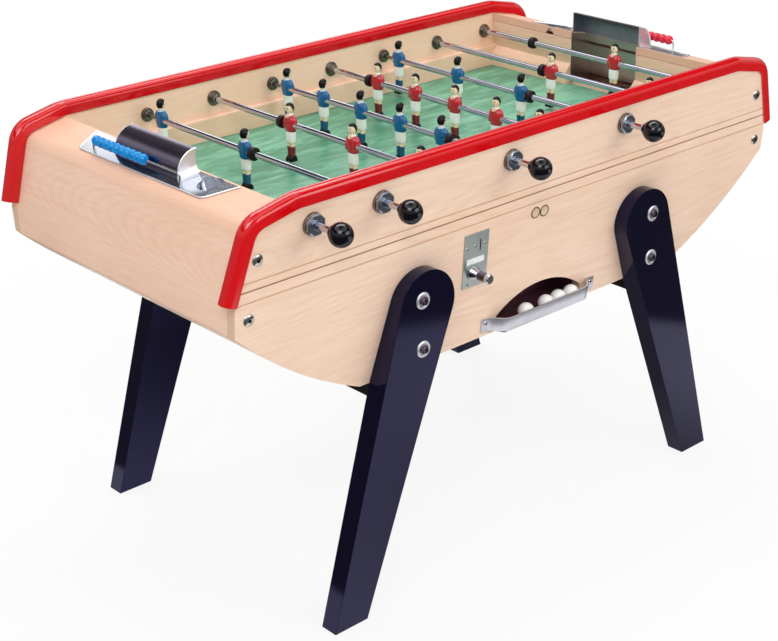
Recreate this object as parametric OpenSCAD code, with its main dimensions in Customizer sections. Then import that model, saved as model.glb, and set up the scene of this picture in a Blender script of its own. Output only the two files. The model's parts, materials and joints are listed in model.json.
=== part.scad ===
// Table football: ply cabinet with leaning sides, eight telescopic rods, coin release, splayed legs.
// The origin is on the floor under the cabinet's centre: +X along the cabinet, near side at -Y, +Z up.
// Both ends are the same, turned half a turn about Z, and so are the two teams' rods.

/* [Cabinet] */
// Half length of the cabinet at its ends
half_len = 740; // [720:1:760]
// Length of an end, from the goal wall out
end_len = 133; // [128:1:138]
// Height of the cabinet's top line under the rail
lip_z = 881; // [878:1:886]
// Distance from the end in to the corner of its roof
corner_in = 44; // [38:1:48]
// Height of the corner of the end's roof
corner_z = 862; // [856:1:866]
// Rounding of that corner
corner_r = 30; // [20:1:36]
// Height where the slanted end face turns upright
fold_z = 724; // [715:1:732]
// Height of the bottom edge of the end
end_foot_z = 672; // [660:1:680]
// Height of the flat belly
belly_z = 477; // [477:1:479]
// Half length of the flat belly, as a share of the half length
belly_share = 0.6081; // [0.595:0.0001:0.635]
// Radius of the curved rise from the belly to the end
belly_r = 960; // [900:10:1100]
// Thickness of a side board
board_t = 21; // [20:0.5:22]
// Half width over the side boards, at the height lean_z
lean_y = 360.9; // [358:0.1:364]
// Height at which the half width is taken
lean_z = 661; // [655:1:665]
// Outward lean of the side boards, in degrees
lean = 4.86; // [4.4:0.02:5.2]
// Thickness of the bent end panel
cap_t = 18; // [15:1:20]
// Thickness of the goal wall
wall_t = 18; // [12:1:20]
// Thickness of the belly panel
belly_t = 12; // [8:1:14]
// Width of a groove along the side board
groove_w = 3; // [2:0.5:4]
// Depth of that groove
groove_d = 1.6; // [1:0.1:2.5]
// Heights of the grooves
groove_z = [770, 754, 732.5];

/* [Rail] */
// Width of the round rail on a side board
rail_w = 30; // [28:0.5:32]
// Distance that the rail's lips reach down the board
rail_lip = 15; // [12:1:18]
// Height of the rail's crown above the top line
rail_rise = 28; // [26:0.5:30]
// Bend radius where the rail leaves the level
kink_r = 80; // [60:5:120]
// Distance from the fold to the rail's lower end
rail_end_gap = 8; // [2:1:20]

/* [Playfield] */
// Height of the playing surface
field_z = 757; // [755:1:760]
// Thickness of the playing surface
field_t = 12; // [8:1:15]
// Half width between the side strips
strip_y = 342; // [341:0.5:343]
// Height of a side strip above the field
side_strip_h = 51; // [45:1:56]
// Height of an end strip at the wall above the field
end_strip_h = 47; // [40:1:50]
// Height of an end strip's front face
end_strip_face = 25; // [15:1:32]
// Depth of an end strip along the cabinet
end_strip_d = 17; // [12:0.5:18]
// Half width of a goal
goal_half = 98; // [97:0.5:104]

/* [Rods] */
// Height of the rods
rod_z = 843.2; // [842:0.1:844]
// Distance from the goal wall in to the keepers' rods
keeper_in = 33.5; // [33:0.1:34]
// Distance of the backs' rods from the centre, as a share of the keepers' distance
back_share = 0.7224; // [0.7184:0.0001:0.7224]
// Distance of the forwards' rods from the centre, as a share of the keepers' distance
forward_share = 0.4249; // [0.4237:0.0001:0.4324]
// Distance of the midfield rods from the centre, as a share of the keepers' distance
mid_share = 0.1465; // [0.1395:0.0001:0.1473]
// Radius of the outer tube
tube_r = 6.5; // [6:0.1:7]
// Radius of the fixed inner rod
guide_r = 4; // [3.5:0.1:4.5]
// Distance past the centre that the fixed inner rod reaches
guide_tip = 60; // [40:1:90]
// Distance from the centre to a rod's inner end
tube_end = 319; // [317:0.5:320]
// Distance from the centre to the outer end of a grip
grip_end = 474.5; // [470:0.5:480]
// Running clearance of a round fit
fit = 0.05; // [0.02:0.01:0.08]
// Distance of the first player from the centre
first_y = 301.5; // [298:0.5:302]
// Distance between two backs
back_gap = 281; // [270:0.5:290]
// Distance between two forwards
forward_gap = 194.5; // [185:0.5:200]
// Distance between two midfield players
mid_gap = 121.5; // [115:0.5:124]
// Distance of a keeper from the centre
keeper_y = 64; // [50:0.5:64]
// Distance from the last player to its rubber bumper
bumper_gap = 26; // [25:0.5:30]
// Distance from a keeper to its rubber bumper
keeper_bumper_gap = 254; // [240:1:256]
// Radius of the rubber bumper
bumper_r = 13.5; // [12:0.5:15]
// Width of the rubber bumper
bumper_w = 12; // [10:1:14]

/* [Players] */
// Depth of the sole below the rod
sole_drop = 78; // [70:0.5:78]
// Height of the head above the rod
head_rise = 45; // [40:0.5:48]
// Height of the shoulders above the rod
shoulder_rise = 21; // [18:0.5:22]
// Width over the shoulders
shoulder_w = 34; // [30:0.5:35]
// Depth of the chest
chest_d = 18; // [16:0.5:20]
// Width of the shorts
shorts_w = 25; // [22:0.5:26]
// Width over both legs
legs_w = 19; // [16:0.5:22]
// Length of a shoe
shoe_len = 22; // [18:0.5:22]
// Radius of the head
head_r = 9.7; // [8:0.1:10]

/* [Bearings and grips] */
// Width of the eight-sided nut over its flats
nut_af = 39; // [34:0.5:42]
// Thickness of the nut
nut_t = 6; // [4:0.5:7]
// Radius of the flange behind the nut
flange_r = 22; // [20:0.5:24]
// Distance that the nut's face stands off the board
nut_proud = 13; // [12:0.5:14]
// Radius of the sleeve through the board
sleeve_r = 10; // [9:0.5:11]
// Radius of the ringed flange inside the board
inner_flange_r = 16.5; // [14:0.5:18]
// Length of the ringed flange
inner_flange_t = 15; // [12:0.5:15]
// Radius of the inner rod's anchor flange
anchor_r = 15; // [13:0.5:17]
// Thickness of the anchor flange
anchor_t = 10; // [8:0.5:10]
// Depth of the anchor's spigot in the board
spigot_len = 12; // [8:1:14]
// Largest radius of a grip
grip_r = 22.5; // [20:0.5:24]
// Radius of a grip's neck
grip_neck_r = 11; // [10:0.5:12]
// Length of a grip
grip_len = 46.5; // [45:0.5:48]

/* [Ends] */
// Radius of the goal hood
hood_r = 43.5; // [43.5:0.1:44]
// Thickness of the hood's sheet
hood_t = 1.5; // [1:0.1:1.5]
// Thickness of the tray's sheet
tray_t = 2; // [1.5:0.1:2.5]
// Distance from the goal wall to the tray's outer edge
tray_d = 71; // [70:0.5:74]
// Half length of the tray at its inner edge
tray_in_half = 229; // [220:1:240]
// Half length of the tray at its outer edge
tray_out_half = 198; // [190:1:205]
// Radius of the ash dish
dish_r = 24; // [20:0.5:24]
// Depth of the ash dish
dish_depth = 11; // [7:0.5:12]
// Distance of the ash dish from the goal's centre line
dish_y = 167; // [150:1:170]
// Radius of the score wire
wire_r = 2; // [1.5:0.1:2.2]
// Distance of the score wire from the goal wall
wire_out = 61; // [61:0.5:62]
// Height of the score wire
wire_z = 893.5; // [893:0.1:896]
// Bend radius of the score wire's feet
wire_bend = 5; // [4.5:0.5:5]
// Distance of the score wire's long end from the centre line
wire_long = 160; // [158:1:164]
// Distance of the score wire's short end from the centre line
wire_short = 130; // [126:1:134]
// Radius of a score bead
bead_r = 10.5; // [9:0.1:10.6]
// Distance between two score beads
bead_pitch = 17; // [15:0.1:17]
// Number of score beads on a wire
bead_count = 10; // [8:1:10]
// Place of the last score bead's outer face
bead_start = 150; // [148:1:152]

/* [Legs] */
// Place of the leg's round head, as a share of the half length
leg_share = 0.427; // [0.42:0.001:0.434]
// Height of the leg's round head
leg_head_z = 618; // [612:1:624]
// Radius of the leg's round head
leg_head_r = 68; // [64:1:72]
// Distance from the leg's head out to the foot's inner edge
foot_splay = 168; // [162:1:174]
// Width of the foot
foot_w = 82; // [78:1:90]
// Half width over the legs
leg_y = 391; // [388:0.5:394]
// Half width between the feet at the floor
foot_y = 350; // [346:0.5:354]
// Distance from the leg's head out to the leg bolts
bolt_out = 14.5; // [12:0.5:17]
// Heights of the leg bolts
bolt_z = [630, 531];
// Radius of a leg bolt
bolt_r = 5; // [4:0.5:6]
// Radius of a bolt's cup washer
cup_r = 17; // [15:0.5:18]
// Thickness of the cup washer
cup_t = 3; // [2:0.5:4]
// Distance from the leg's head out to the crossbeam
beam_off = 7; // [2:1:14]
// Width of the crossbeam
beam_w = 97; // [80:1:100]
// Depth of the crossbeam
beam_h = 36; // [30:1:40]

/* [Coin release] */
// Place of the coin plate along the cabinet
plate_x = -165; // [-170:1:-160]
// Width of the coin plate
plate_w = 64; // [60:1:70]
// Height of the coin plate's lower edge
plate_low = 600.5; // [598:0.5:604]
// Height of the coin plate's upper edge
plate_high = 714; // [710:1:720]
// Thickness of the coin plate
plate_t = 2.5; // [2:0.1:3]
// Place of the coin handle along the cabinet
handle_x = -170; // [-172:1:-168]
// Height of the coin handle
handle_z = 630; // [628:0.5:632]
// Distance that the coin handle stands off the board
handle_out = 50; // [46:1:55]
// Length of the handle's cone
cone_len = 14; // [10:0.5:16]
// Radius of the cone at the plate
cone_r = 15; // [12:0.5:16]
// Radius of the handle's stem
stem_r = 9; // [8:0.5:10]
// Radius of the handle's knob
knob_r = 10.5; // [10:0.5:12]
// Length of the handle's knob
knob_len = 8; // [6:0.5:10]
// Radius of the coin handle's shaft
shaft_r = 4; // [3.5:0.1:4.2]
// Height of the release shaft
release_z = 590; // [588:0.5:592]
// Distance of the release shaft from the centre
release_y = 250; // [248:0.5:252]
// Radius of the release shaft
release_r = 4; // [3.5:0.1:4.5]

/* [Ball tray] */
// Place of the ball opening along the cabinet
arch_x = 30; // [28:1:32]
// Half width of the ball opening
arch_half = 127; // [124:1:130]
// Height where the opening's arch springs
arch_spring = 507; // [504:1:510]
// Height of the opening's crown
arch_crown = 552; // [546:1:556]
// Height of the tray's floor
tray_floor = 483; // [483:0.5:485]
// Thickness of the tray's floor
tray_floor_t = 3; // [2:0.5:3]
// Depth of the tray behind the centre of the board
tray_back = 264; // [262:1:266]
// Width of the guard strip
guard_h = 29; // [26:1:31]
// Height of the guard strip's lower edge
guard_low = 487; // [486:1:489]
// Distance that the guard stands off the board
guard_out = 30; // [29:0.5:32]
// Thickness of the guard strip
guard_t = 3; // [2:0.5:3]
// Half length of the guard's straight front
guard_front = 118; // [114:1:120]
// Distance from the guard's centre to its foot
guard_foot = 145; // [142:1:147]
// Distance from the guard's centre to its end
guard_end = 165; // [162:1:168]
// Radius of a ball
ball_r = 17; // [16.5:0.1:17]
// Places of the balls along the guard, from its centre
ball_at = [-42, 17, 54, 92];

/* [Ball return] */
// Inner width of the return channel
channel_w = 60; // [50:1:64]
// Thickness of the channel's boards
channel_t = 6; // [5:0.5:7]
// Height of the channel's walls
channel_h = 40; // [36:1:41]
// Height of the channel's floor below the goal
channel_high = 700; // [696:1:702]
// Height of the channel's floor at the middle
channel_mid = 516; // [514:1:520]
// Height of the channel's floor at the ball tray
channel_low = 494; // [493:0.5:496]

/* [Hidden] */
$fn = 48;
seat = 0.2;
past = 1;
far = 1000;
cap_joint = 0.1;
slope_of_lean = tan(lean);
level_half = half_len - end_len;
corner_x = half_len - corner_in;
function tenth(v) = round(10 * v) / 10;
belly_half = tenth(half_len * belly_share);
keeper_x = level_half - keeper_in;
back_x = tenth(keeper_x * back_share);
forward_x = tenth(keeper_x * forward_share);
mid_x = tenth(keeper_x * mid_share);
wire_x = level_half + wire_out;
leg_head_x = tenth(half_len * leg_share);
foot_in = leg_head_x + foot_splay;
foot_out = foot_in + foot_w;
bolt_x = leg_head_x + bolt_out;
beam_in = leg_head_x + beam_off;
beam_out = beam_in + beam_w;
lip = [[0, lip_z], [level_half, lip_z], [corner_x, corner_z], [half_len, fold_z]];
rail_tongue = rail_lip - 0.3;
tongue_gap = 0.3;

// Rods 1 to 8 from the left: place, side of the grip (-1 near, 1 far), players, their spacing and shift.
rod_x = [-keeper_x, -back_x, -forward_x, -mid_x, mid_x, forward_x, back_x, keeper_x];
rod_side = [-1, -1, 1, -1, 1, -1, 1, 1];
rod_players = [1, 2, 3, 5, 5, 3, 2, 1];
rod_gap = [0, back_gap, forward_gap, mid_gap, mid_gap, forward_gap, back_gap, 0];
rod_shift = [0, 0, 6, 0, 10, 0, 3.5, 0];
function is_keeper(n) = rod_players[n] == 1;
function player_y(n, k) = is_keeper(n) ? keeper_y : first_y - rod_shift[n] - k * rod_gap[n];
function bumper_y(n) = player_y(n, rod_players[n] - 1)
    - (is_keeper(n) ? keeper_bumper_gap : bumper_gap);

function unit(v) = v / norm(v);
function left_of(a, b) = let (d = unit(b - a)) [-d.y, d.x];
// An open line of points, moved to its left by d.
function shifted(pts, d) = [
    for (i = [0:len(pts) - 1])
        let (before = left_of(pts[max(i - 1, 0)], pts[max(i, 1)]))
        let (after = i < len(pts) - 1 ? left_of(pts[i], pts[i + 1]) : before)
        pts[i] + d * (before + after) / (1 + before * after)
];
function bend_centre(a, b, c, r) =
    let (u = unit(a - b), v = unit(c - b)) b + unit(u + v) * r / sin(acos(u * v) / 2);
function bend_reach(a, b, c, r) =
    let (u = unit(a - b), v = unit(c - b)) r / tan(acos(u * v) / 2);
// Points of the round that takes the corner b between the lines to a and c.
function round_points(a, b, c, r, n = 8) =
    let (o = bend_centre(a, b, c, r), t = bend_reach(a, b, c, r))
    let (p = b + unit(a - b) * t - o, q = b + unit(c - b) * t - o)
    let (from = atan2(p.y, p.x), turn = atan2(p.x * q.y - p.y * q.x, p * q))
    [for (i = [0:n]) o + r * [cos(from + turn * i / n), sin(from + turn * i / n)]];
function arc_points(o, r, from, to, n) = [
    for (i = [0:n]) o + r * [cos(from + (to - from) * i / n), sin(from + (to - from) * i / n)]
];
function both_halves(pts) = concat(pts, [for (i = [len(pts) - 1:-1:0]) [-pts[i].x, pts[i].y]]);

// Heights measured along a leaning board, from the height lean_z.
function along_board(z) = (z - lean_z) / cos(lean);
function on_board(pts) = [for (p = pts) [p.x, along_board(p.y)]];
// Half widths over and between the side boards at a height.
function outer_y(z) = lean_y + slope_of_lean * (z - lean_z);
function inner_y(z) = outer_y(z) - board_t / cos(lean);
// Height of the roof of an end.
roof_slope = (lip_z - corner_z) / (corner_x - level_half);
roof_angle = atan(roof_slope);
function roof_z(x) = lip_z - roof_slope * (x - level_half);

function lip_line(pts, d) =
    let (s = shifted(pts, d), kink = round_points(s[0], s[1], s[2], kink_r + d))
    concat([s[0]], kink, round_points(s[1], s[2], s[3], corner_r + d));
belly_chord = [half_len - belly_half, end_foot_z - belly_z];
belly_half_turn = asin(norm(belly_chord) / 2 / belly_r);
belly_dir = atan2(belly_chord.y, belly_chord.x);
belly_centre = [belly_half, belly_z]
    + belly_r * [cos(belly_dir + 90 - belly_half_turn), sin(belly_dir + 90 - belly_half_turn)];
belly_line = concat([[0, belly_z]], arc_points(belly_centre, belly_r,
    belly_dir - 90 - belly_half_turn, belly_dir - 90 + belly_half_turn, 14));
belly_rise = [for (i = [len(belly_line) - 1:-1:0]) belly_line[i]];

// A side board's plane: X along the board, Y inward from its outer face, Z up along it.
module near_board() translate([0, -lean_y, lean_z]) rotate([lean, 0, 0]) children();
module at_side(side) {
    if (side < 0) children();
    else mirror([0, 1, 0]) children();
}
module upright(y0, y1) translate([0, y1, 0]) rotate([90, 0, 0]) linear_extrude(y1 - y0) children();
module board_slab() near_board() translate([-far, 0, -far]) cube([2 * far, board_t, 2 * far]);
module outside_board() near_board() translate([-far, 0, -far]) cube([2 * far, far, 2 * far]);
module at_ends() {
    children();
    rotate([0, 0, 180]) children();
}
// Cuts its children to the space between the side boards.
module between_boards() {
    low = inner_y(0) - seat;
    high = inner_y(far) - seat;
    intersection() {
        children();
        rotate([90, 0, 90]) translate([0, 0, -far]) linear_extrude(2 * far)
            polygon([[-low, 0], [low, 0], [high, far], [-high, far]]);
    }
}
// A round along Y, at a place along the cabinet and a height.
module round_y(x, z, r, y0, y1) translate([x, y0, z]) rotate([-90, 0, 0]) cylinder(h = y1 - y0, r = r);

board_lip = on_board(lip);
module board_outline() {
    end_and_belly = on_board(concat([[half_len, fold_z]], belly_rise));
    polygon(both_halves(concat(lip_line(board_lip, 0), end_and_belly)));
    tongue = concat(lip_line(board_lip, rail_tongue), [shifted(board_lip, rail_tongue)[3]]);
    end_dir = unit(board_lip[3] - board_lip[2]);
    difference() {
        polygon(both_halves(concat(tongue, [board_lip[3] - [corner_r, 0], [0, 0]])));
        for (m = [0, 1]) mirror([m, 0]) translate(board_lip[3] - end_dir * (rail_end_gap + past))
            rotate(atan2(end_dir.y, end_dir.x)) translate([0, -rail_tongue]) square([far / 10, far / 10]);
    }
}
module side_board(side) {
    difference() {
        near_board() upright(0, board_t) board_outline();
        near_board() for (z = groove_z)
            translate([-far, -past, along_board(z) - groove_w / 2])
                cube([2 * far, past + groove_d, groove_w]);
        for (n = [0:7])
            if (rod_side[n] == side)
                round_y(rod_x[n], rod_z, sleeve_r + fit, -leg_y - past, -strip_y + past);
            else
                round_y(rod_x[n], rod_z, tube_r + fit, -inner_y(rod_z) - spigot_len - fit, -strip_y + past);
        for (x = [-bolt_x, bolt_x], z = bolt_z)
            round_y(x, z, bolt_r + fit, -leg_y, -inner_y(z) + 2 * past);
        for (p = corner_screws, m = [-1, 1]) near_board()
            round_y(m * p.x, along_board(p.y), screw_r + fit, -past, screw_len + fit);
        if (side < 0) near_front_cuts();
    }
}
corner_screws = [[half_len - 48, 808], [half_len - 29.5, 700]];
screw_r = 2;
screw_len = 16;
module near_front_cuts() {
    round_y(handle_x, handle_z, shaft_r + fit, -far, -inner_y(handle_z) + 2 * past);
    near_board() {
        for (p = plate_screws) round_y(p.x, along_board(p.y), screw_r + fit, -past, screw_len + fit);
        for (x = guard_screw_x)
            round_y(x, along_board(guard_screw_z), screw_r + fit, -past, screw_len + fit);
        for (p = stud_caps)
            round_y(p.x, along_board(p.y), cap_stud_r + fit, -past, cap_stud_len + fit);
        translate([slot_x - slot_w / 2, -past, along_board(slot_low)])
            cube([slot_w, board_t + 2 * past, slot_high - slot_low]);
    }
    arch_opening(0);
}
module arch_opening(gap) {
    rise = arch_crown - arch_spring;
    arch_r = (pow(arch_half, 2) + pow(rise, 2)) / 2 / rise;
    upright(-leg_y, -inner_y(0)) translate([arch_x, 0]) {
        translate([-arch_half, tray_floor - tray_floor_t - seat])
            square([2 * arch_half, arch_spring - past / 2 - tray_floor + tray_floor_t + seat]);
        intersection() {
            translate([0, arch_crown - arch_r]) circle(r = arch_r, $fn = 96);
            translate([-arch_half, arch_spring - past]) square([2 * arch_half, rise + 2 * past]);
        }
    }
}
module side_board_near() color("burlywood") side_board(-1);
module side_board_far() color("burlywood") mirror([0, 1, 0]) side_board(1);

// One end's bent panel: sloping roof, slanted face and short upright foot.
module end_panel() {
    foot = [half_len, end_foot_z];
    skin = concat([lip[1]], round_points(lip[1], lip[2], lip[3], corner_r), [lip[3], foot]);
    inside = shifted([lip[1], lip[2], lip[3], foot], -cap_t);
    bend = round_points(inside[0], inside[1], inside[2], corner_r - cap_t);
    lining = concat([[level_half, inside[0].y]], bend, [inside[2], inside[3]]);
    difference() {
        between_boards() upright(-far, far)
            polygon(concat(skin, [for (i = [len(lining) - 1:-1:0]) lining[i]]));
        hood_notch(cap_joint);
        for (y = [-wire_long + wire_bend, wire_short - wire_bend])
            translate([wire_x, y, corner_z - cap_t]) cylinder(h = far, r = wire_r + fit);
        roof_frame() translate([dish_s, dish_y, -cap_t - 2 * past])
            cylinder(h = cap_t + 4 * past, r = dish_r + tray_t + tongue_gap);
    }
}
// On the roof of the right end: X down the slope from the goal wall, Z square to the roof.
module roof_frame() translate([level_half, 0, lip_z]) rotate([0, roof_angle, 0]) children();
dish_s = 27;
hood_x = level_half + 6;
hood_z = lip_z;
hood_half = goal_half + hood_t;
module hood_notch(gap) translate([level_half - past, -goal_half, corner_z - cap_t - 2 * past])
    cube([hood_x + hood_r - hood_t - level_half + past, 2 * goal_half, far]);
module end_panels() color("burlywood") at_ends() end_panel();

// One goal wall: its mouth runs up through the top, and balls pass under its sill.
wall_sill = 40;
module goal_wall() difference() {
    between_boards() upright(-far, far) polygon([
        [level_half, field_z - wall_sill], [level_half + wall_t, field_z - wall_sill],
        [level_half + wall_t, roof_z(level_half + wall_t) - cap_t / cos(roof_angle) - seat],
        [level_half, roof_z(level_half) - cap_t / cos(roof_angle) - seat]]);
    translate([level_half - past, -goal_half, field_z]) cube([wall_t + 2 * past, 2 * goal_half, far]);
}
module goal_walls() color("tan") at_ends() goal_wall();

module playfield() color("mediumseagreen") {
    half = inner_y(field_z - field_t) - seat;
    translate([-level_half + seat, -half, field_z - field_t])
        cube([2 * (level_half - seat), 2 * half, field_t]);
}
module field_strips() color("tan") {
    round_r = 5;
    top = field_z + side_strip_h;
    back_y = -inner_y(top) - past;
    round_at = [-strip_y - round_r, top - round_r];
    front = concat([[-strip_y, field_z]], arc_points(round_at, round_r, 0, 90, 6));
    for (side = [-1, 1]) at_side(side) difference() {
        rotate([90, 0, 90]) translate([0, 0, -level_half + seat]) linear_extrude(2 * (level_half - seat))
            polygon(concat([[back_y, field_z]], front, [[back_y, top]]));
        translate([0, seat, 0]) board_slab();
        translate([-far, -far - strip_y, field_z - past]) cube([2 * far, far - side_strip_past, 2 * far]);
    }
    wall_x = level_half - seat;
    nose_at = [level_half - end_strip_d + nose_r, field_z + end_strip_face];
    at_ends() for (m = [0, 1]) mirror([0, m, 0]) upright(goal_half, strip_y - seat)
        polygon(concat([[wall_x, field_z], [wall_x, field_z + end_strip_h]],
            arc_points(nose_at, nose_r, nose_from, 180, 6), [[level_half - end_strip_d, field_z]]));
}
nose_r = 12;
nose_from = 130;
side_strip_past = 14;
module belly_panel() color("tan") difference() {
    inner = shifted(belly_line, belly_t);
    last = len(inner) - 1;
    between_boards() intersection() {
        upright(-far, far) polygon(concat([for (i = [last:-1:1]) [-belly_line[i].x, belly_line[i].y]],
            belly_line, [for (i = [last:-1:0]) inner[i]], [for (i = [1:last]) [-inner[i].x, inner[i].y]]));
        translate([-half_len + cap_t + seat, -far, 0]) cube([2 * (half_len - cap_t - seat), 2 * far, far]);
    }
    translate([arch_x - arch_half - channel_t - seat, -far, 0])
        cube([2 * (arch_half + channel_t + seat), far - tray_back + channel_t + seat, far]);
}

// The round rail: straight along the top, bent down each end, with a groove for the board's edge.
// Its section is given as pairs: height above the top line, and place across the board.
crown_steps = 10;
rail_half = rail_w / 2;
slot_half = board_t / 2 + tongue_gap;
rail_section = concat([[0, -rail_half]],
    arc_points([rail_rise - rail_half, 0], rail_half, -90, 90, crown_steps),
    [[0, rail_half], [0, slot_half], [rail_lip, slot_half], [rail_lip, -slot_half], [0, -slot_half]]);
rail_down = unit(board_lip[3] - board_lip[2]);
// The line of the rail at a height above the top line, from its left end to its right end.
function rail_half_line(v) = let (line = lip_line(board_lip, v), side = shifted(board_lip, v))
    concat([for (i = [1:len(line) - 1]) line[i]], [side[3] - rail_down * rail_end_gap]);
function rail_line(v) = let (half = rail_half_line(v), last = len(half) - 1)
    concat([for (i = [last:-1:0]) [-half[i].x, half[i].y]], half);
module rail() {
    lines = [for (p = rail_section) rail_line(p.x)];
    rings = len(lines[0]);
    around = len(rail_section);
    points = [for (i = [0:rings - 1], k = [0:around - 1]) [lines[k][i].x, rail_section[k].y, lines[k][i].y]];
    sides = [for (i = [0:rings - 2], k = [0:around - 1])
        let (next = (k + 1) % around)
        [i * around + k, i * around + next, (i + 1) * around + next, (i + 1) * around + k]];
    // The end face as convex pieces: two lips, and the crown as two fans from the groove's corners.
    crown_first = 1;
    crown_last = crown_first + crown_steps;
    crown_mid = crown_first + crown_steps / 2;
    groove_a = crown_last + 3;
    groove_b = crown_last + 4;
    lips = [[0, crown_first, groove_b, groove_b + 1],
        [crown_last, crown_last + 1, crown_last + 2, groove_a]];
    end_face = concat(lips,
        [for (k = [crown_first:crown_mid - 1]) [k, k + 1, groove_b]], [[crown_mid, groove_a, groove_b]],
        [for (k = [crown_mid:crown_last - 1]) [k, k + 1, groove_a]]);
    far_face = [for (f = end_face) [for (k = f) k + (rings - 1) * around]];
    near_face = [for (f = end_face) [for (k = [len(f) - 1:-1:0]) f[k]]];
    near_board() translate([0, board_t / 2, 0])
        polyhedron(points, concat(sides, far_face, near_face), convexity = 6);
}
module rails() color("crimson") for (side = [-1, 1]) at_side(side) rail();

// A leg: round head on the board, straight taper to the floor, its back lying against the board.
function touch_angle(from, side) =
    let (d = from - [leg_head_x, leg_head_z]) atan2(d.y, d.x) + side * acos(leg_head_r / norm(d));
module leg(side, end) {
    back = [[-foot_y, 0], [-outer_y(belly_z) - seat, belly_z], [-outer_y(far) - seat, far]];
    color("midnightblue") at_side(side) mirror([end < 0 ? 1 : 0, 0, 0]) difference() {
        intersection() {
            upright(-leg_y, -foot_y + 2 * cup_r) polygon(concat([[foot_in, 0], [foot_out, 0]],
                arc_points([leg_head_x, leg_head_z], leg_head_r, touch_angle([foot_out, 0], 1),
                    touch_angle([foot_in, 0], -1) + 360, 24)));
            rotate([90, 0, 90]) linear_extrude(far) polygon(concat(back, [[-far, far], [-far, 0]]));
        }
        for (z = bolt_z) round_y(bolt_x, z, bolt_r + fit, -far, 0);
    }
}
module crossbeams() color("black") for (m = [0, 1]) mirror([m, 0, 0])
    translate([beam_in, -outer_y(belly_z), belly_z - beam_h - seat])
        cube([beam_out - beam_in, 2 * outer_y(belly_z), beam_h]);
hex_af = 9;
bolt_head_r = 9;
bolt_head_t = 6;
module leg_bolt(x, z) difference() {
    union() {
        round_y(x, z, cup_r, -leg_y - cup_t - seat, -leg_y - seat);
        round_y(x, z, bolt_head_r, -leg_y - cup_t - bolt_head_t, -leg_y - cup_t);
        round_y(x, z, bolt_r, -leg_y - cup_t, -inner_y(z) - past);
    }
    translate([x, -leg_y - cup_t - past, z]) rotate([90, 0, 0])
        cylinder(h = bolt_head_t, r = hex_af / 2 / cos(30), $fn = 6);
}
module leg_bolts() color("silver")
    for (side = [-1, 1]) at_side(side) for (x = [-bolt_x, bolt_x], z = bolt_z) leg_bolt(x, z);

// A screw with a cupped head in a board's outer face.
module board_screw(x, z, head_r, head_t, seat_y, stem_r = screw_r, stem_len = screw_len) near_board()
    translate([x, seat_y, along_board(z)]) rotate([-90, 0, 0]) {
        translate([0, 0, -head_t]) cylinder(h = head_t, r1 = head_r * 0.7, r2 = head_r);
        cylinder(h = stem_len - seat_y, r = stem_r);
    }
plate_screws = [[-190.6, 684], [-168.3, 685], [-142.9, 685.3], [-183.4, 608]];
guard_screw_z = 505;
guard_screw_x = [arch_x - (guard_foot + guard_end) / 2, arch_x + (guard_foot + guard_end) / 2];
stud_caps = [[-2, 711], [23, 709]];
cap_stud_r = 5;
cap_stud_len = 14;
stud_cap_r = 12.3;
module board_screws() color("silver") {
    for (side = [-1, 1]) at_side(side)
        for (p = corner_screws, m = [-1, 1]) board_screw(m * p.x, p.y, 10, 4, 0);
    for (p = plate_screws) board_screw(p.x, p.y, 3.2, 1.4, -plate_t);
    for (x = guard_screw_x) board_screw(x, guard_screw_z, 5, 2.5, -guard_t);
    for (p = stud_caps) board_screw(p.x, p.y, stud_cap_r, 1.6, 0, cap_stud_r, cap_stud_len);
}

// A quarter-round hood over the goal, open to the field and below.
module hood_space(r, half) translate([hood_x, half, hood_z]) rotate([90, 0, 0])
    intersection() {
        union() {
            cylinder(h = 2 * half, r = r, $fn = 96);
            translate([0, -far, 0]) cube([r, far, 2 * half]);
        }
        translate([0, -far, -past]) cube([far, 2 * far, 2 * half + 2 * past]);
    }
module goal_hood() difference() {
    hood_space(hood_r, hood_half);
    translate([-past, 0, 0]) hood_space(hood_r - hood_t, goal_half);
    translate([hood_x - 2 * past, -goal_half, 0]) cube([3 * past, 2 * goal_half, far]);
    roof_frame() translate([-far, -far, -far]) cube([2 * far, 2 * far, far + cap_joint]);
}
module goal_hoods() color("gray") at_ends() goal_hood();
tray_corner_r = 14;
groove_spots = [[10.5, 134.7], [19.5, 121.6]];
groove_size = [20, 3];
module tray_outline() {
    a = [hood_x - level_half, -tray_in_half];
    b = [tray_d, -tray_out_half];
    c = [tray_d, tray_out_half];
    d = [hood_x - level_half, tray_in_half];
    difference() {
        polygon(concat([a], round_points(a, b, c, tray_corner_r),
            round_points(b, c, d, tray_corner_r), [d]));
        translate([0, -hood_half - seat])
            square([(hood_x - level_half + hood_r) / cos(roof_angle) + seat, 2 * (hood_half + seat)]);
    }
}
module end_tray() difference() {
    union() {
        roof_frame() {
            translate([0, 0, cap_joint]) linear_extrude(tray_t) tray_outline();
            translate([dish_s, dish_y, cap_joint - dish_depth])
                cylinder(h = dish_depth + tray_t / 2, r = dish_r + tray_t / 2);
        }
    }
    roof_frame() {
        translate([dish_s, dish_y, cap_joint - dish_depth + tray_t]) cylinder(h = far, r = dish_r);
        for (p = groove_spots) translate([p.x, p.y - groove_size.y / 2, cap_joint + tray_t / 2])
            cube([groove_size.x, groove_size.y, far]);
    }
    for (y = [-wire_long + wire_bend, wire_short - wire_bend])
        translate([wire_x, y, 0]) cylinder(h = far, r = wire_r + fit);
}
module end_trays() color("dimgray") at_ends() end_tray();

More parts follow.
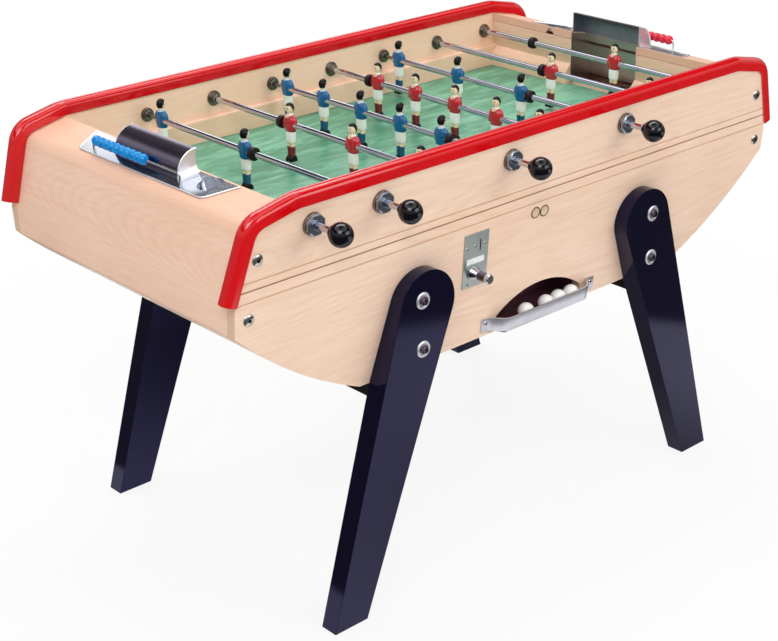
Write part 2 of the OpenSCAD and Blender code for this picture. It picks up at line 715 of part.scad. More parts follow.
// A score wire bent down at both ends into the roof, and its beads.
module score_wire() {
    straight = wire_long + wire_short - 4 * wire_bend;
    foot = wire_z - wire_bend - corner_z + cap_t / 2;
    round_y(wire_x, wire_z, wire_r, -wire_long + 2 * wire_bend, wire_short - 2 * wire_bend);
    for (e = [[-wire_long + 2 * wire_bend, 0], [wire_short - 2 * wire_bend, 1]])
        translate([wire_x, e.x, wire_z - wire_bend]) mirror([0, e.y, 0]) {
            rotate([90, 0, -90]) rotate_extrude(angle = 90)
                translate([wire_bend, 0]) circle(r = wire_r, $fn = 24);
            translate([0, -wire_bend, -foot]) cylinder(h = foot, r = wire_r);
        }
}
module score_wires() color("silver") at_ends() score_wire();
bead_gap = 0.3;
module score_beads() for (k = [0:bead_count - 1])
    translate([wire_x, -bead_start + k * bead_pitch, wire_z]) rotate([-90, 0, 0]) rotate_extrude()
        difference() {
            intersection() {
                translate([0, bead_pitch / 2]) circle(r = bead_r);
                translate([0, bead_gap / 2]) square([bead_r + past, bead_pitch - bead_gap]);
            }
            translate([-past, -past]) square([past + wire_r + fit, 2 * bead_r + 2 * past]);
        }
module score_beads_left() color("dodgerblue") rotate([0, 0, 180]) score_beads();
module score_beads_right() color("red") score_beads();

// The grip-side bearing of each rod: nut, flange, sleeve through the board and ringed inner flange.
module rod_bushing(x) {
    board_face = outer_y(rod_z);
    wall = inner_y(rod_z);
    nut_face = board_face + nut_proud;
    difference() {
        union() {
            translate([x, -nut_face, rod_z]) rotate([-90, 22.5, 0])
                cylinder(h = nut_t, r = nut_af / 2 / cos(22.5), $fn = 8);
            difference() {
                round_y(x, rod_z, flange_r, -nut_face + nut_t, -board_face + 3 * past);
                outside_board();
            }
            round_y(x, rod_z, sleeve_r, -nut_face + nut_t, -wall + past);
            difference() {
                round_y(x, rod_z, inner_flange_r, -wall - 3 * past, -wall + inner_flange_t);
                near_board() translate([-far, -far, -far]) cube([2 * far, far + board_t, 2 * far]);
            }
        }
        round_y(x, rod_z, tube_r + fit, -far, 0);
    }
}
module rod_bushings() color("silver") for (n = [0:7]) at_side(rod_side[n]) rod_bushing(rod_x[n]);
module guide_rod(x) {
    wall = inner_y(rod_z);
    difference() {
        round_y(x, rod_z, anchor_r, -wall - 3 * past, -wall + anchor_t);
        near_board() translate([-far, -far, -far]) cube([2 * far, far + board_t, 2 * far]);
    }
    round_y(x, rod_z, tube_r, -wall - spigot_len, -wall + past);
    round_y(x, rod_z, guide_r, -wall, guide_tip);
}
module guide_rods() color("silver") for (n = [0:7]) at_side(-rod_side[n]) guide_rod(rod_x[n]);

// A rod's own pieces, drawn for a grip on the near side.
stub_r = 4;
stub_len = 10;
module on_rod(n) at_side(rod_side[n]) translate([rod_x[n], 0, rod_z]) children();
module rod_tube(n) color("silver") on_rod(n) difference() {
    union() {
        round_y(0, 0, tube_r, -grip_end + stub_len, tube_end - rod_shift[n]);
        round_y(0, 0, stub_r, -grip_end - 0.5, -grip_end + stub_len + past);
    }
    round_y(0, 0, guide_r + fit, -grip_end + 2 * stub_len, far);
}
function taper(pairs) = concat(pairs, [for (i = [len(pairs) - 1:-1:0]) [-pairs[i].x, pairs[i].y]]);
waist_drop = 13;
shorts_drop = 36;
sock_drop = 63;
module player() {
    front = [[shoulder_w / 2 - 4, shoulder_rise], [shoulder_w / 2, shoulder_rise - 6], [shoulder_w / 2, -6],
        [shorts_w / 2, -waist_drop], [shorts_w / 2, -shorts_drop], [legs_w / 2, -shorts_drop - 2],
        [legs_w / 2, -sole_drop]];
    profile = [[-4, shoulder_rise], [5, shoulder_rise], [chest_d / 2, shoulder_rise - 7], [chest_d / 2, -6],
        [7, -waist_drop], [7.5, -shorts_drop], [5, -shorts_drop - 3], [4.5, -sock_drop],
        [shoe_len / 2, -sock_drop - 7], [shoe_len / 2, -sole_drop], [-shoe_len / 2, -sole_drop],
        [-shoe_len / 2, -sock_drop - 7], [-5.5, -sock_drop], [-6, -shorts_drop - 3], [-8, -shorts_drop],
        [-7.5, -waist_drop], [-chest_d / 2, -6], [-chest_d / 2, shoulder_rise - 7]];
    difference() {
        union() {
            intersection() {
                rotate([90, 0, 90]) translate([0, 0, -shoe_len]) linear_extrude(2 * shoe_len)
                    polygon(taper(front));
                upright(-shoulder_w, shoulder_w) polygon(profile);
            }
            rotate_extrude($fn = 32) intersection() {
                union() {
                    translate([0, head_rise - head_r * 1.05]) circle(r = head_r);
                    translate([0, shoulder_rise - past]) square([head_r * 0.55, head_r]);
                }
                square([head_r, head_rise]);
            }
        }
        round_y(0, 0, tube_r + fit, -shoulder_w, shoulder_w);
    }
}
module rod_team(n) color(rod_side[n] < 0 ? "royalblue" : "firebrick") on_rod(n)
    for (k = [0:rod_players[n] - 1])
        translate([0, player_y(n, k), 0]) mirror([rod_side[n] < 0 ? 0 : 1, 0, 0]) player();
module rod_bumper(n) color("black") on_rod(n) difference() {
    union() {
        round_y(0, 0, bumper_r, bumper_y(n) - bumper_w / 2, bumper_y(n) + bumper_w / 2);
        round_y(0, 0, bumper_r * 0.7, bumper_y(n) - bumper_w / 2 - 1.5, bumper_y(n));
    }
    round_y(0, 0, tube_r + fit, -far, far);
}
module rod_grip(n) color("black") on_rod(n) translate([0, -grip_end, 0]) rotate([-90, 0, 0]) difference() {
    rotate_extrude() intersection() {
        union() {
            translate([0, grip_r]) circle(r = grip_r);
            polygon([[0, grip_r], [grip_r * 0.83, grip_r * 1.555], [grip_neck_r, grip_len - 1.5],
                [grip_neck_r - 1.5, grip_len], [0, grip_len]]);
        }
        square([grip_r, grip_len]);
    }
    translate([0, 0, -past]) cylinder(h = stub_len + 2 * past, r = stub_r + fit);
    translate([0, 0, stub_len - fit]) cylinder(h = grip_len, r = tube_r + fit);
}

// The coin plate on the near board: slot, blank label and the handle that lets the balls out.
slot_x = -155;
slot_w = 3;
slot_low = 675;
slot_high = 699;
label_low = 650;
label_high = 662;
label_w = 46;
label_from = -24;
label_proud = 0.5;
module coin_plate() color("silver") difference() {
    near_board() {
        translate([plate_x - plate_w / 2, -plate_t, along_board(plate_low)])
            cube([plate_w, plate_t, along_board(plate_high) - along_board(plate_low)]);
        translate([plate_x + label_from, -plate_t - label_proud, along_board(label_low)])
            cube([label_w, 2 * label_proud, label_high - label_low]);
    }
    near_board() {
        translate([slot_x - slot_w / 2, -far, along_board(slot_low)])
            cube([slot_w, 2 * far, slot_high - slot_low]);
        for (p = plate_screws) round_y(p.x, along_board(p.y), screw_r + fit, -far, far);
    }
    round_y(handle_x, handle_z, shaft_r + fit, -far, 0);
}
handle_gap = 2;
collar_r = 8;
collar_t = 5;
crank_t = 5;
crank_gap = 7.5;
module coin_handle() color("silver") {
    face = outer_y(handle_z) + plate_t + handle_gap;
    tip = outer_y(handle_z) + handle_out;
    translate([handle_x, -face, handle_z]) rotate([90, 0, 0])
        cylinder(h = cone_len, r1 = cone_r, r2 = stem_r - 1);
    round_y(handle_x, handle_z, stem_r, -tip + knob_len, -face - cone_len);
    round_y(handle_x, handle_z, knob_r, -tip, -tip + knob_len);
    round_y(handle_x, handle_z, shaft_r, -face - past, -release_y + crank_t / 2 + crank_gap + past);
    round_y(handle_x, handle_z, collar_r, -release_y + crank_t / 2 + crank_gap,
        -release_y + crank_t / 2 + crank_gap + collar_t);
}
// The release shaft: a forked crank by the handle, and a flap that holds back the balls.
flap_half = channel_w / 2 - 3;
crank_fork = 34;
crank_len = 58;
flap_end = 497;
module ball_gate() color("gray") translate([0, -release_y, release_z]) {
    rotate([0, 90, 0]) translate([0, 0, handle_x - 10])
        cylinder(h = post_right + post_t + 10 - handle_x + 10, r = release_r);
    difference() {
        translate([handle_x - 8, -crank_t / 2, 0]) cube([16, crank_t, crank_len]);
        translate([handle_x - shaft_r - 1, -crank_t, crank_fork])
            cube([2 * shaft_r + 2, 2 * crank_t, crank_len]);
    }
    translate([arch_x - flap_half, -crank_t / 2, flap_end - release_z])
        cube([2 * flap_half, crank_t, release_z - flap_end]);
}
// The bent guard strip in front of the ball tray.
module ball_guard() color("silver") {
    line = [[-guard_end, 0], [-guard_foot, 0], [-guard_front, -guard_out + guard_t],
        [guard_front, -guard_out + guard_t], [guard_foot, 0], [guard_end, 0]];
    strip = shifted(line, -guard_t);
    difference() {
        near_board() translate([arch_x, 0, along_board(guard_low)]) linear_extrude(guard_h)
            polygon(concat(line, [for (i = [len(strip) - 1:-1:0]) strip[i]]));
        near_board() for (x = guard_screw_x)
            round_y(x, along_board(guard_screw_z), screw_r + fit, -far, far);
    }
}
module balls() color("white") for (s = ball_at)
    translate([arch_x + s, -outer_y(tray_floor + ball_r) - guard_out + 2 * guard_t + ball_r + seat,
        tray_floor + ball_r + fit]) sphere(r = ball_r);

// The inner run: a sloping channel from each goal, a cross run to the ball tray, and the tray itself.
end_slant = corner_in / (corner_z - fold_z);
channel_end = half_len - end_slant * (channel_high + channel_h - fold_z)
    - cap_t * sqrt(1 + pow(end_slant, 2)) - seat;
tray_wall_h = 62;
mouth_half = channel_w / 2;
post_t = 6;
post_left = handle_x + 20;
post_right = arch_x + channel_w / 2 + channel_t + 12;
belly_top = belly_z + belly_t + seat;
module ball_return() color("saddlebrown") {
    wide = channel_w + 2 * channel_t;
    mid = wide / 2;
    at_arch = arch_x + mid;
    // The two long channels, closed at the goal ends and open at the middle.
    for (m = [-1, 1]) {
        inner_x = m > 0 ? at_arch + seat : mid - arch_x + seat;
        low = [inner_x, channel_mid];
        high = [channel_end, channel_high];
        mirror([m < 0 ? 1 : 0, 0, 0]) difference() {
            upright(-wide / 2, wide / 2) polygon([low - [0, channel_t], high - [0, channel_t],
                high + [0, channel_h], low + [0, channel_h]]);
            upright(-channel_w / 2, channel_w / 2) polygon([low - [past, 0], high - [channel_t, 0],
                high + [-channel_t, far], low + [-past, far]]);
        }
    }
    // The cross run, sloping to the gate.
    cross_high = channel_mid - channel_t - 6;
    back_y = wide / 2;
    gate_y = -release_y + 12;
    difference() {
        translate([arch_x - wide / 2, 0, 0]) rotate([90, 0, 90]) linear_extrude(wide) polygon([
            [gate_y, belly_top], [back_y, belly_top], [back_y, cross_high + 2 * channel_h],
            [gate_y, cross_high + channel_h]]);
        translate([arch_x - channel_w / 2, 0, 0]) rotate([90, 0, 90]) linear_extrude(channel_w) polygon([
            [gate_y - past, channel_low], [back_y - channel_t, cross_high], [back_y - channel_t, far],
            [gate_y - past, far]]);
        translate([-far, -channel_w / 2, cross_high + channel_t + 2 * past]) cube([2 * far, channel_w, far]);
    }
    // Two posts that carry the release shaft.
    for (x = [post_left, post_right]) difference() {
        translate([x, -tray_back + channel_t, belly_top])
            cube([post_t, 2 * (tray_back - channel_t - release_y), release_z + 3 * release_r - belly_top]);
        translate([x - past, -release_y, release_z]) rotate([0, 90, 0])
            cylinder(h = post_t + 2 * past, r = release_r + fit);
    }
    // The ball tray: floor out under the guard, two sides and a back with the gate's mouth.
    out_y = outer_y(tray_floor);
    out_half = arch_half - seat;
    front = out_y + guard_out - 8;
    translate([arch_x, 0, tray_floor - tray_floor_t]) linear_extrude(tray_floor_t)
        polygon([[-out_half, -tray_back], [-out_half, -out_y - 1], [-guard_front, -front],
            [guard_front, -front], [out_half, -out_y - 1], [out_half, -tray_back]]);
    tray_front = inner_y(tray_floor) - seat;
    difference() {
        translate([arch_x - arch_half - channel_t, -tray_front, tray_floor - tray_floor_t])
            cube([2 * (arch_half + channel_t), tray_front - tray_back + channel_t, tray_wall_h]);
        translate([arch_x - arch_half, -far, tray_floor]) cube([2 * arch_half, far - tray_back, far]);
        translate([arch_x - mouth_half, -far, tray_floor]) cube([2 * mouth_half, far, far]);
    }
}

side_board_near();
side_board_far();
end_panels();
goal_walls();
playfield();
field_strips();
belly_panel();
rails();
leg(-1, -1);  // leg_near_left
leg(-1, 1);  // leg_near_right
leg(1, -1);  // leg_far_left
leg(1, 1);  // leg_far_right
crossbeams();
leg_bolts();
board_screws();
goal_hoods();
end_trays();
ball_return();
score_wires();
score_beads_left();
score_beads_right();
rod_bushings();
guide_rods();
coin_plate();
coin_handle();
ball_gate();
ball_guard();
balls();
for (n = [0:7]) {
    rod_tube(n);
    rod_team(n);
    rod_bumper(n);
    rod_grip(n);
}
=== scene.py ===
"""Table football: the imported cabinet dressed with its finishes, cast players and small metal parts."""
import json
from math import atan, copysign, cos, hypot, pi, radians, sin, tan

import bmesh
import bpy
from mathutils import Matrix, Vector

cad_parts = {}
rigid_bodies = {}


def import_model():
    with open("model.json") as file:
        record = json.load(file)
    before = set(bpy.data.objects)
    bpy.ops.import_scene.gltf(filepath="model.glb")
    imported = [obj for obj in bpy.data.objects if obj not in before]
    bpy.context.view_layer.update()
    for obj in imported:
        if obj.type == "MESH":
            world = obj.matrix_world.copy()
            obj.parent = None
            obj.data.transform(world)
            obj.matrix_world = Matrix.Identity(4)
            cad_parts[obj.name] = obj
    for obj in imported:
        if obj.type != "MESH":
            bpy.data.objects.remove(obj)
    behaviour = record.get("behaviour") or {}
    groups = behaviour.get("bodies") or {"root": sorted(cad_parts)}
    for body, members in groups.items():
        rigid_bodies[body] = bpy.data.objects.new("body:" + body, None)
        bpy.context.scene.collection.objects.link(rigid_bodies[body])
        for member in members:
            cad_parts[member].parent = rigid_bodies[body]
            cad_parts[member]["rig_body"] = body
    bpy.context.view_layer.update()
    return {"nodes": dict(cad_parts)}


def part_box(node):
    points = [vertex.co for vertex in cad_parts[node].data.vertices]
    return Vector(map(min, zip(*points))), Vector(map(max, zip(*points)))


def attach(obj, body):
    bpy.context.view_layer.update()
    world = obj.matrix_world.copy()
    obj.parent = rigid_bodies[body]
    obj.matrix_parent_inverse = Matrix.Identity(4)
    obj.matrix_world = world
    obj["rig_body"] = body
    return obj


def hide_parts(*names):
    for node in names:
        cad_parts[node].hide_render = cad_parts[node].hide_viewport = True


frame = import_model()

MM = 0.001
TURN = 2 * pi
POINT_R = 1e-4  # a ring with a smaller radius is a point
NO_TURN = (0, 0, 0)
HALF_TURN = (0, 0, 180)

# Camera, in millimetres and degrees: the place, the view angles and the photograph's own framing.
IMAGE_W = 778
IMAGE_H = 641
FOCAL_PX = 1630.64
CENTRE_PX = (408.93, 311.40)
CAMERA_AT = (-2213.78, -2419.33, 1836.77)
CAMERA_YAW = 42.340
CAMERA_PITCH = -23.929
CAMERA_ROLL = -0.697
SENSOR_W = 36

# Cabinet sizes that the dressed pieces share with the frame, in millimetres; the lean is in degrees.
LEAN = 4.86
LEAN_Z = 661
LEAN_Y = 360.9
BOARD_T = 21

# Rods 1 to 8, from the left: ROD_SIDE is -1 where the grip is on the near side, ROD_SHIFT shortens a tube,
# and PLAYER_Y and BUMPER_Y are places along the rod.
ROD_Z = 843.2
ROD_X = (-573.5, -414.3, -243.7, -84, 84, 243.7, 414.3, 573.5)
ROD_SIDE = (-1, -1, 1, -1, 1, -1, 1, 1)
TUBE_R = 6.5
GRIP_END = 474.5
TUBE_END = 319
ROD_SHIFT = (0, 0, 6, 0, 10, 0, 3.5, 0)
PLAYER_Y = (
    (64,),
    (301.5, 20.5),
    (-295.5, -101, 93.5),
    (301.5, 180, 58.5, -63, -184.5),
    (-291.5, -170, -48.5, 73, 194.5),
    (301.5, 107, -87.5),
    (-298, -17),
    (-64,),
)
RODS = [f"rod_{k}" for k in range(1, 9)]
BUMPER_Y = (-190, -5.5, 119.5, -210.5, 220.5, -113.5, 9, 190)

# Hoods, trays and score wires at the right end.
HOOD_X = 613
HOOD_Z = 881
HOOD_R = 43.5
CHEEK_Y = 99.5
LINING_Y = 97.6
ROOF_X = 607
ROOF_Z = 881
ROOF_SLOPE = 19 / 89
TRAY_T = 2.2
WIRE_X = 668
WIRE_Z = 893.5
BEAD_Y = -141.5
BEAD_STEP = 17

# The grooves of the side boards, known by their place, depth and face area in square metres.
GROOVE_MID_X = 60
GROOVE_AREA = 0.001
GROOVE_DEEP = (0.4, 1.8)
GROOVES_Z = (728, 776)
MIDDLE_GROOVE_Z = (750, 758)
SIDEWAYS = 0.9

# Coin plate, ball opening, legs and screws on the near board.
TILT = (LEAN, 0, 0)
SLOT_X = -155
SLOT_Z = (674, 700)
LABEL_X = -166
LABEL_Z = (649, 663)
LABEL_PROUD = 2.7
PLATE_T = 4.5
HANDLE_X = -170
HANDLE_Z = 630
HANDLE_OUT = 50
HANDLE_IN = 235
TRAY_X = 30
GUARD_T = 3
GUARD_WIDE = 29
GUARD_Z = 487
GUARD_OUT = 30
GUARD_SCREW_X = 154
GUARD_SCREW_Z = 505
BALL_R = 17
BALL_Z = 500.05
BALLS_AT = (-42, 17, 54, 92)
LEG_X = 330.5
LEG_Y = 391.1
LEG_BOLTS_Z = (630, 531)
CORNER_SCREWS = ((692, 808), (710.5, 700))
PLATE_SCREWS = ((-190.6, 684), (-168.3, 685), (-142.9, 685.3), (-183.4, 608))
ROUND_CAPS = ((-2, 711), (23, 709))


def outer_y(z):
    """Half width over the leaning side boards at a height."""
    return LEAN_Y + tan(radians(LEAN)) * (z - LEAN_Z)


def inner_y(z):
    """Half width between the leaning side boards at a height."""
    return outer_y(z) - BOARD_T / cos(radians(LEAN))


# Meshes

def mesh_of(bm, name):
    mesh = bpy.data.meshes.new(name)
    bm.to_mesh(mesh)
    bm.free()
    return mesh


def mark_sharp(bm, degrees):
    """Smooth faces, with a hard edge where two faces meet at more than the given angle."""
    limit = radians(degrees)
    for face in bm.faces:
        face.smooth = True
    for edge in bm.edges:
        edge.smooth = len(edge.link_faces) != 2 or edge.calc_face_angle(0) < limit


def link(name, data):
    made = bpy.data.objects.new(name, data)
    bpy.context.scene.collection.objects.link(made)
    return made


def put(thing, **settings):
    for key, value in settings.items():
        setattr(thing, key, value)
    return thing


def lay_on(piece, finishes):
    for finish in finishes:
        piece.data.materials.append(finish)


def hand_over(piece, body, nodes):
    """Gives a finished piece its body and the nodes that it stands for."""
    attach(piece, body)
    for node in nodes:
        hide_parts(node)


def weld(bm, reach=1e-7):
    """Merges the vertices that lie on one another, within a reach in metres."""
    bmesh.ops.remove_doubles(bm, verts=bm.verts, dist=reach)


def baked(piece):
    """The piece with its modifiers worked into a plain mesh."""
    depsgraph = bpy.context.evaluated_depsgraph_get()
    mesh = bpy.data.meshes.new_from_object(
        piece.evaluated_get(depsgraph), preserve_all_data_layers=True, depsgraph=depsgraph)
    name = piece.name
    bpy.data.objects.remove(piece)
    mesh.name = name
    return link(name, mesh)


def new_piece(name, bm, finishes, body, nodes=(), sharp=38):
    bmesh.ops.recalc_face_normals(bm, faces=bm.faces)
    mark_sharp(bm, sharp)
    piece = link(name, mesh_of(bm, name))
    lay_on(piece, finishes)
    hand_over(piece, body, nodes)


def dressed(node, finishes, pick=None, edge=0.8, sharp=30, steps=2):
    """A copy of a node's solid with its loose triangles merged, its edges eased and its finishes laid on."""
    bm = bmesh.new()
    bm.from_mesh(frame["nodes"][node].data)
    weld(bm, 2e-6)
    bmesh.ops.dissolve_limit(bm, angle_limit=radians(0.6), verts=bm.verts, edges=bm.edges)
    bm.normal_update()
    for face in bm.faces:
        face.material_index = pick(face) if pick else 0
    mark_sharp(bm, sharp)
    piece = link(node + "_dressed", mesh_of(bm, node))
    lay_on(piece, finishes)
    if edge:
        put(piece.modifiers.new("Eased edges", "BEVEL"), width=edge * MM, segments=steps,
            limit_method="ANGLE", angle_limit=radians(sharp), use_clamp_overlap=True)
        put(piece.modifiers.new("Even shading", "WEIGHTED_NORMAL"), keep_sharp=True)
        piece = baked(piece)
    hand_over(piece, frame["nodes"][node]["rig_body"], (node,))


def rounded(points, radius, steps=4):
    """An open outline with its inner corners rounded; points are pairs."""
    out = [Vector(points[0])]
    for before, corner, after in zip(points, points[1:], points[2:]):
        corner = Vector(corner)
        a = Vector(before) - corner
        b = Vector(after) - corner
        reach = min(radius, a.length * 0.45, b.length * 0.45)
        start = corner + a.normalized() * reach
        end = corner + b.normalized() * reach
        for k in range(steps + 1):
            t = k / steps
            out.append((1 - t) ** 2 * start + 2 * t * (1 - t) * corner + t ** 2 * end)
    out.append(Vector(points[-1]))
    return out


def arc(first, last, steps):
    """Angles from one to another in equal steps, given in degrees and returned in radians."""
    return [radians(first + (last - first) * k / steps) for k in range(steps + 1)]


def tangents(line):
    """The way ahead at each point of a line, from the point before to the point after."""
    points = [Vector(point) for point in line]
    return [after - before for before, after in zip(points[:1] + points, points[1:] + points[-1:])]


def vert(bm, point):
    """A vertex at a point in millimetres."""
    return bm.verts.new(Vector(point) * MM)


def circle(bm, centre, radius, side, other, sides):
    """A ring of vertices in the plane of two directions."""
    angles = [TURN * k / sides for k in range(sides)]
    return [vert(bm, centre + radius * (cos(a) * side + sin(a) * other)) for a in angles]


def turned(bm, profile, sides=40, index=0, at=(0, 0, 0), axis=(0, -1, 0)):
    """Turns a profile of (distance along the axis, radius) pairs about a line; sizes in millimetres."""
    axis = Vector(axis).normalized()
    side = axis.orthogonal().normalized()
    other = axis.cross(side)
    rings = []
    for along, radius in profile:
        centre = Vector(at) + axis * along
        if radius < POINT_R:
            rings.append([vert(bm, centre)])
        else:
            rings.append(circle(bm, centre, radius, side, other, sides))
    join_rings(bm, rings, index)


def join_rings(bm, rings, index=0):
    """Faces between rings of vertices, where a ring of one vertex is a point."""
    for low, high in zip(rings, rings[1:]):
        count = max(len(low), len(high))
        if count == 1:
            continue
        for k in range(count):
            following = (k + 1) % count
            corners = [low[k % len(low)], low[following % len(low)],
                       high[following % len(high)], high[k % len(high)]]
            unique = list(dict.fromkeys(corners))
            if len(unique) > 2:
                bm.faces.new(unique).material_index = index


def join_capped(bm, rings):
    """Faces between rings, and one over the first ring and one over the last."""
    join_rings(bm, rings)
    bm.faces.new(rings[0])
    bm.faces.new(rings[-1])


def loft(bm, sections, index=0, sides=16):
    """A closed body through level sections (height, place x, place y, half depth, half width, squareness)."""
    rings = []
    for z, x, y, half_x, half_y, square in sections:
        ring = []
        for k in range(sides):
            c = cos(TURN * k / sides)
            s = sin(TURN * k / sides)
            px = x + half_x * copysign(abs(c) ** (2 / square), c)
            py = y + half_y * copysign(abs(s) ** (2 / square), s)
            ring.append(vert(bm, (px, py, z)))
        rings.append(ring)
    bottom, top = [[vert(bm, (x, y, z))] for z, x, y, *rest in (sections[0], sections[-1])]
    join_rings(bm, [bottom] + rings + [top], index)


# Repeated pieces

def repeat_tree(count):
    """A tree that sets a unit on each place, turns it as the place says and lays on its finishes."""
    tree = bpy.data.node_groups.new("Set on places", "GeometryNodeTree")
    sockets = [("Places", "INPUT", "Geometry"), ("Unit", "INPUT", "Object"), ("Unit size", "INPUT", "Float")]
    sockets += [(f"Finish {k}", "INPUT", "Material") for k in range(count)]
    for name, way, kind in sockets + [("Pieces", "OUTPUT", "Geometry")]:
        tree.interface.new_socket(name, in_out=way, socket_type="NodeSocket" + kind)
    enter = tree.nodes.new("NodeGroupInput")
    leave = tree.nodes.new("NodeGroupOutput")
    unit = add_node(tree, "GeometryNodeObjectInfo", {"Object": enter.outputs["Unit"], "As Instance": True})
    turn = add_node(tree, "GeometryNodeInputNamedAttribute", {"Name": "turn"}, data_type="FLOAT_VECTOR")
    spread = add_node(tree, "GeometryNodeInstanceOnPoints", {
        "Points": enter.outputs["Places"], "Instance": unit.outputs["Geometry"],
        "Rotation": turn.outputs["Attribute"], "Scale": enter.outputs["Unit size"]})
    made = add_node(tree, "GeometryNodeRealizeInstances", {"Geometry": spread.outputs["Instances"]})
    flow = made.outputs["Geometry"]
    mark = add_node(tree, "GeometryNodeInputNamedAttribute", {"Name": "finish"}, data_type="INT")
    for k in range(count):
        same = add_node(tree, "FunctionNodeCompare", {2: mark.outputs["Attribute"], 3: k},
                        data_type="INT", operation="EQUAL")
        laid = add_node(tree, "GeometryNodeSetMaterial", {
            "Geometry": flow, "Selection": same.outputs["Result"], "Material": enter.outputs[f"Finish {k}"]})
        flow = laid.outputs["Geometry"]
    tree.links.new(flow, leave.inputs["Pieces"])
    return tree


def repeated(name, unit_bm, places, finishes, nodes=(), sharp=38, body="cabinet"):
    """One piece from a unit set on places of (millimetre point, turn in degrees)."""
    bmesh.ops.recalc_face_normals(unit_bm, faces=unit_bm.faces)
    mark_sharp(unit_bm, sharp)
    unit = link(name + "_unit", mesh_of(unit_bm, name + "_unit"))
    marks = unit.data.attributes.new("finish", "INT", "FACE")
    marks.data.foreach_set("value", [face.material_index for face in unit.data.polygons])
    for face in unit.data.polygons:
        face.material_index = 0
    spots = bpy.data.meshes.new(name)
    spots.from_pydata([Vector(point) * MM for point, turn in places], [], [])
    turns = spots.attributes.new("turn", "FLOAT_VECTOR", "POINT")
    turns.data.foreach_set("vector", [radians(angle) for point, turn in places for angle in turn])
    piece = link(name, spots)
    modifier = piece.modifiers.new("Set on places", "NODES")
    modifier.node_group = repeat_tree(len(finishes))
    sockets = {item.name: item.identifier for item in modifier.node_group.interface.items_tree}
    modifier[sockets["Unit"]] = unit
    modifier[sockets["Unit size"]] = 1.0
    for k, finish in enumerate(finishes):
        modifier[sockets[f"Finish {k}"]] = finish
    piece = baked(piece)
    bpy.data.objects.remove(unit)
    hand_over(piece, body, nodes)


# Materials

SOCKETS = {
    "rough": "Roughness", "metal": "Metallic", "specular": "Specular IOR Level",
    "coat": "Coat Weight", "coat_rough": "Coat Roughness", "ior": "IOR", "clear": "Transmission Weight",
    "tint": "Specular Tint",
}


def add_node(tree, kind, inputs=None, **settings):
    node = put(tree.nodes.new(kind), **settings)
    for key, value in (inputs or {}).items():
        if isinstance(value, bpy.types.NodeSocket):
            tree.links.new(value, node.inputs[key])
        else:
            node.inputs[key].default_value = value
    return node


def shade(tree, kind, inputs=None, **settings):
    """A shader node by the short name of its kind."""
    return add_node(tree, "ShaderNode" + kind, inputs, **settings)


def new_finish(name, **values):
    """A new material, its node tree and its shader with the given values set on the shader's own sockets."""
    made = bpy.data.materials.new(name)
    made.use_nodes = True
    shader = made.node_tree.nodes["Principled BSDF"]
    for key, value in values.items():
        shader.inputs[SOCKETS[key]].default_value = (*value, 1) if key == "tint" else value
    return made, made.node_tree, shader


def srgb(red, green, blue):
    """A colour as it shows, 0 to 255, in the renderer's linear scale."""
    out = []
    for value in (red, green, blue):
        value = value / 255
        out.append(value / 12.92 if value <= 0.04045 else ((value + 0.055) / 1.055) ** 2.4)
    return tuple(out)


def stretched(tree, scale, turn=(0, 0, 0)):
    """The piece's own coordinates, in metres, stretched by a scale for each axis."""
    coords = shade(tree, "TexCoord")
    placed = shade(tree, "Mapping", {
        "Vector": coords.outputs["Object"], "Scale": scale,
        "Rotation": tuple(radians(angle) for angle in turn)})
    return placed.outputs["Vector"]


def axes(tree, turn=(0, 0, 0)):
    """The piece's own X, Y and Z in metres, turned by angles in degrees."""
    return shade(tree, "SeparateXYZ", {"Vector": stretched(tree, (1, 1, 1), turn)}).outputs


def noise(tree, scale, detail=2.0, rough=0.5, bend=0.0):
    """Noise over the piece, its scale a metre given for all axes or for each."""
    scale = scale if isinstance(scale, tuple) else (scale, scale, scale)
    return shade(tree, "TexNoise", {
        "Vector": stretched(tree, scale), "Scale": 1, "Detail": detail, "Roughness": rough,
        "Distortion": bend}).outputs["Fac"]


def ramp(tree, factor, *stops):
    """A colour ramp of (place, colour or grey) stops."""
    node = shade(tree, "ValToRGB", {"Fac": factor})
    bar = node.color_ramp.elements
    while len(bar) < len(stops):
        bar.new(0.5)
    for element, (place, colour) in zip(bar, stops):
        element.position = place
        element.color = (*colour, 1) if isinstance(colour, tuple) else (colour, colour, colour, 1)
    return node.outputs["Color"]


def sums(tree, operation, a, b=0.0):
    return shade(tree, "Math", {0: a, 1: b}, operation=operation).outputs[0]


def times(tree, a, b):
    return sums(tree, "MULTIPLY", a, b)


def plus(tree, a, b):
    return sums(tree, "ADD", a, b)


def mixed(tree, factor, a, b):
    """One colour passing to another; each is a socket or a linear colour."""
    node = shade(tree, "Mix", {"Factor": factor}, data_type="RGBA")
    for index, value in ((6, a), (7, b)):
        if isinstance(value, bpy.types.NodeSocket):
            tree.links.new(value, node.inputs[index])
        else:
            node.inputs[index].default_value = (*value, 1)
    return node.outputs[2]


def tinted(tree, shader, factor, a, b):
    """Colours the shader from one colour to another; each is 0 to 255, as it shows."""
    tree.links.new(mixed(tree, factor, srgb(*a), srgb(*b)), shader.inputs["Base Color"])


def passed(tree, value, low, high, start=0.0, end=1.0):
    """Goes from low to high as a value goes from start to end."""
    return shade(tree, "MapRange", {
        "Value": value, "From Min": start, "From Max": end, "To Min": low, "To Max": high}).outputs["Result"]


def spread_rough(tree, shader, factor, low, high):
    """Roughness that wanders between two values."""
    tree.links.new(passed(tree, factor, low, high), shader.inputs["Roughness"])


def raise_by(tree, shader, height, depth, strength):
    """Fine relief, its depth in millimetres."""
    bump = shade(tree, "Bump", {"Height": height, "Distance": depth * MM, "Strength": strength})
    tree.links.new(bump.outputs["Normal"], shader.inputs["Normal"])


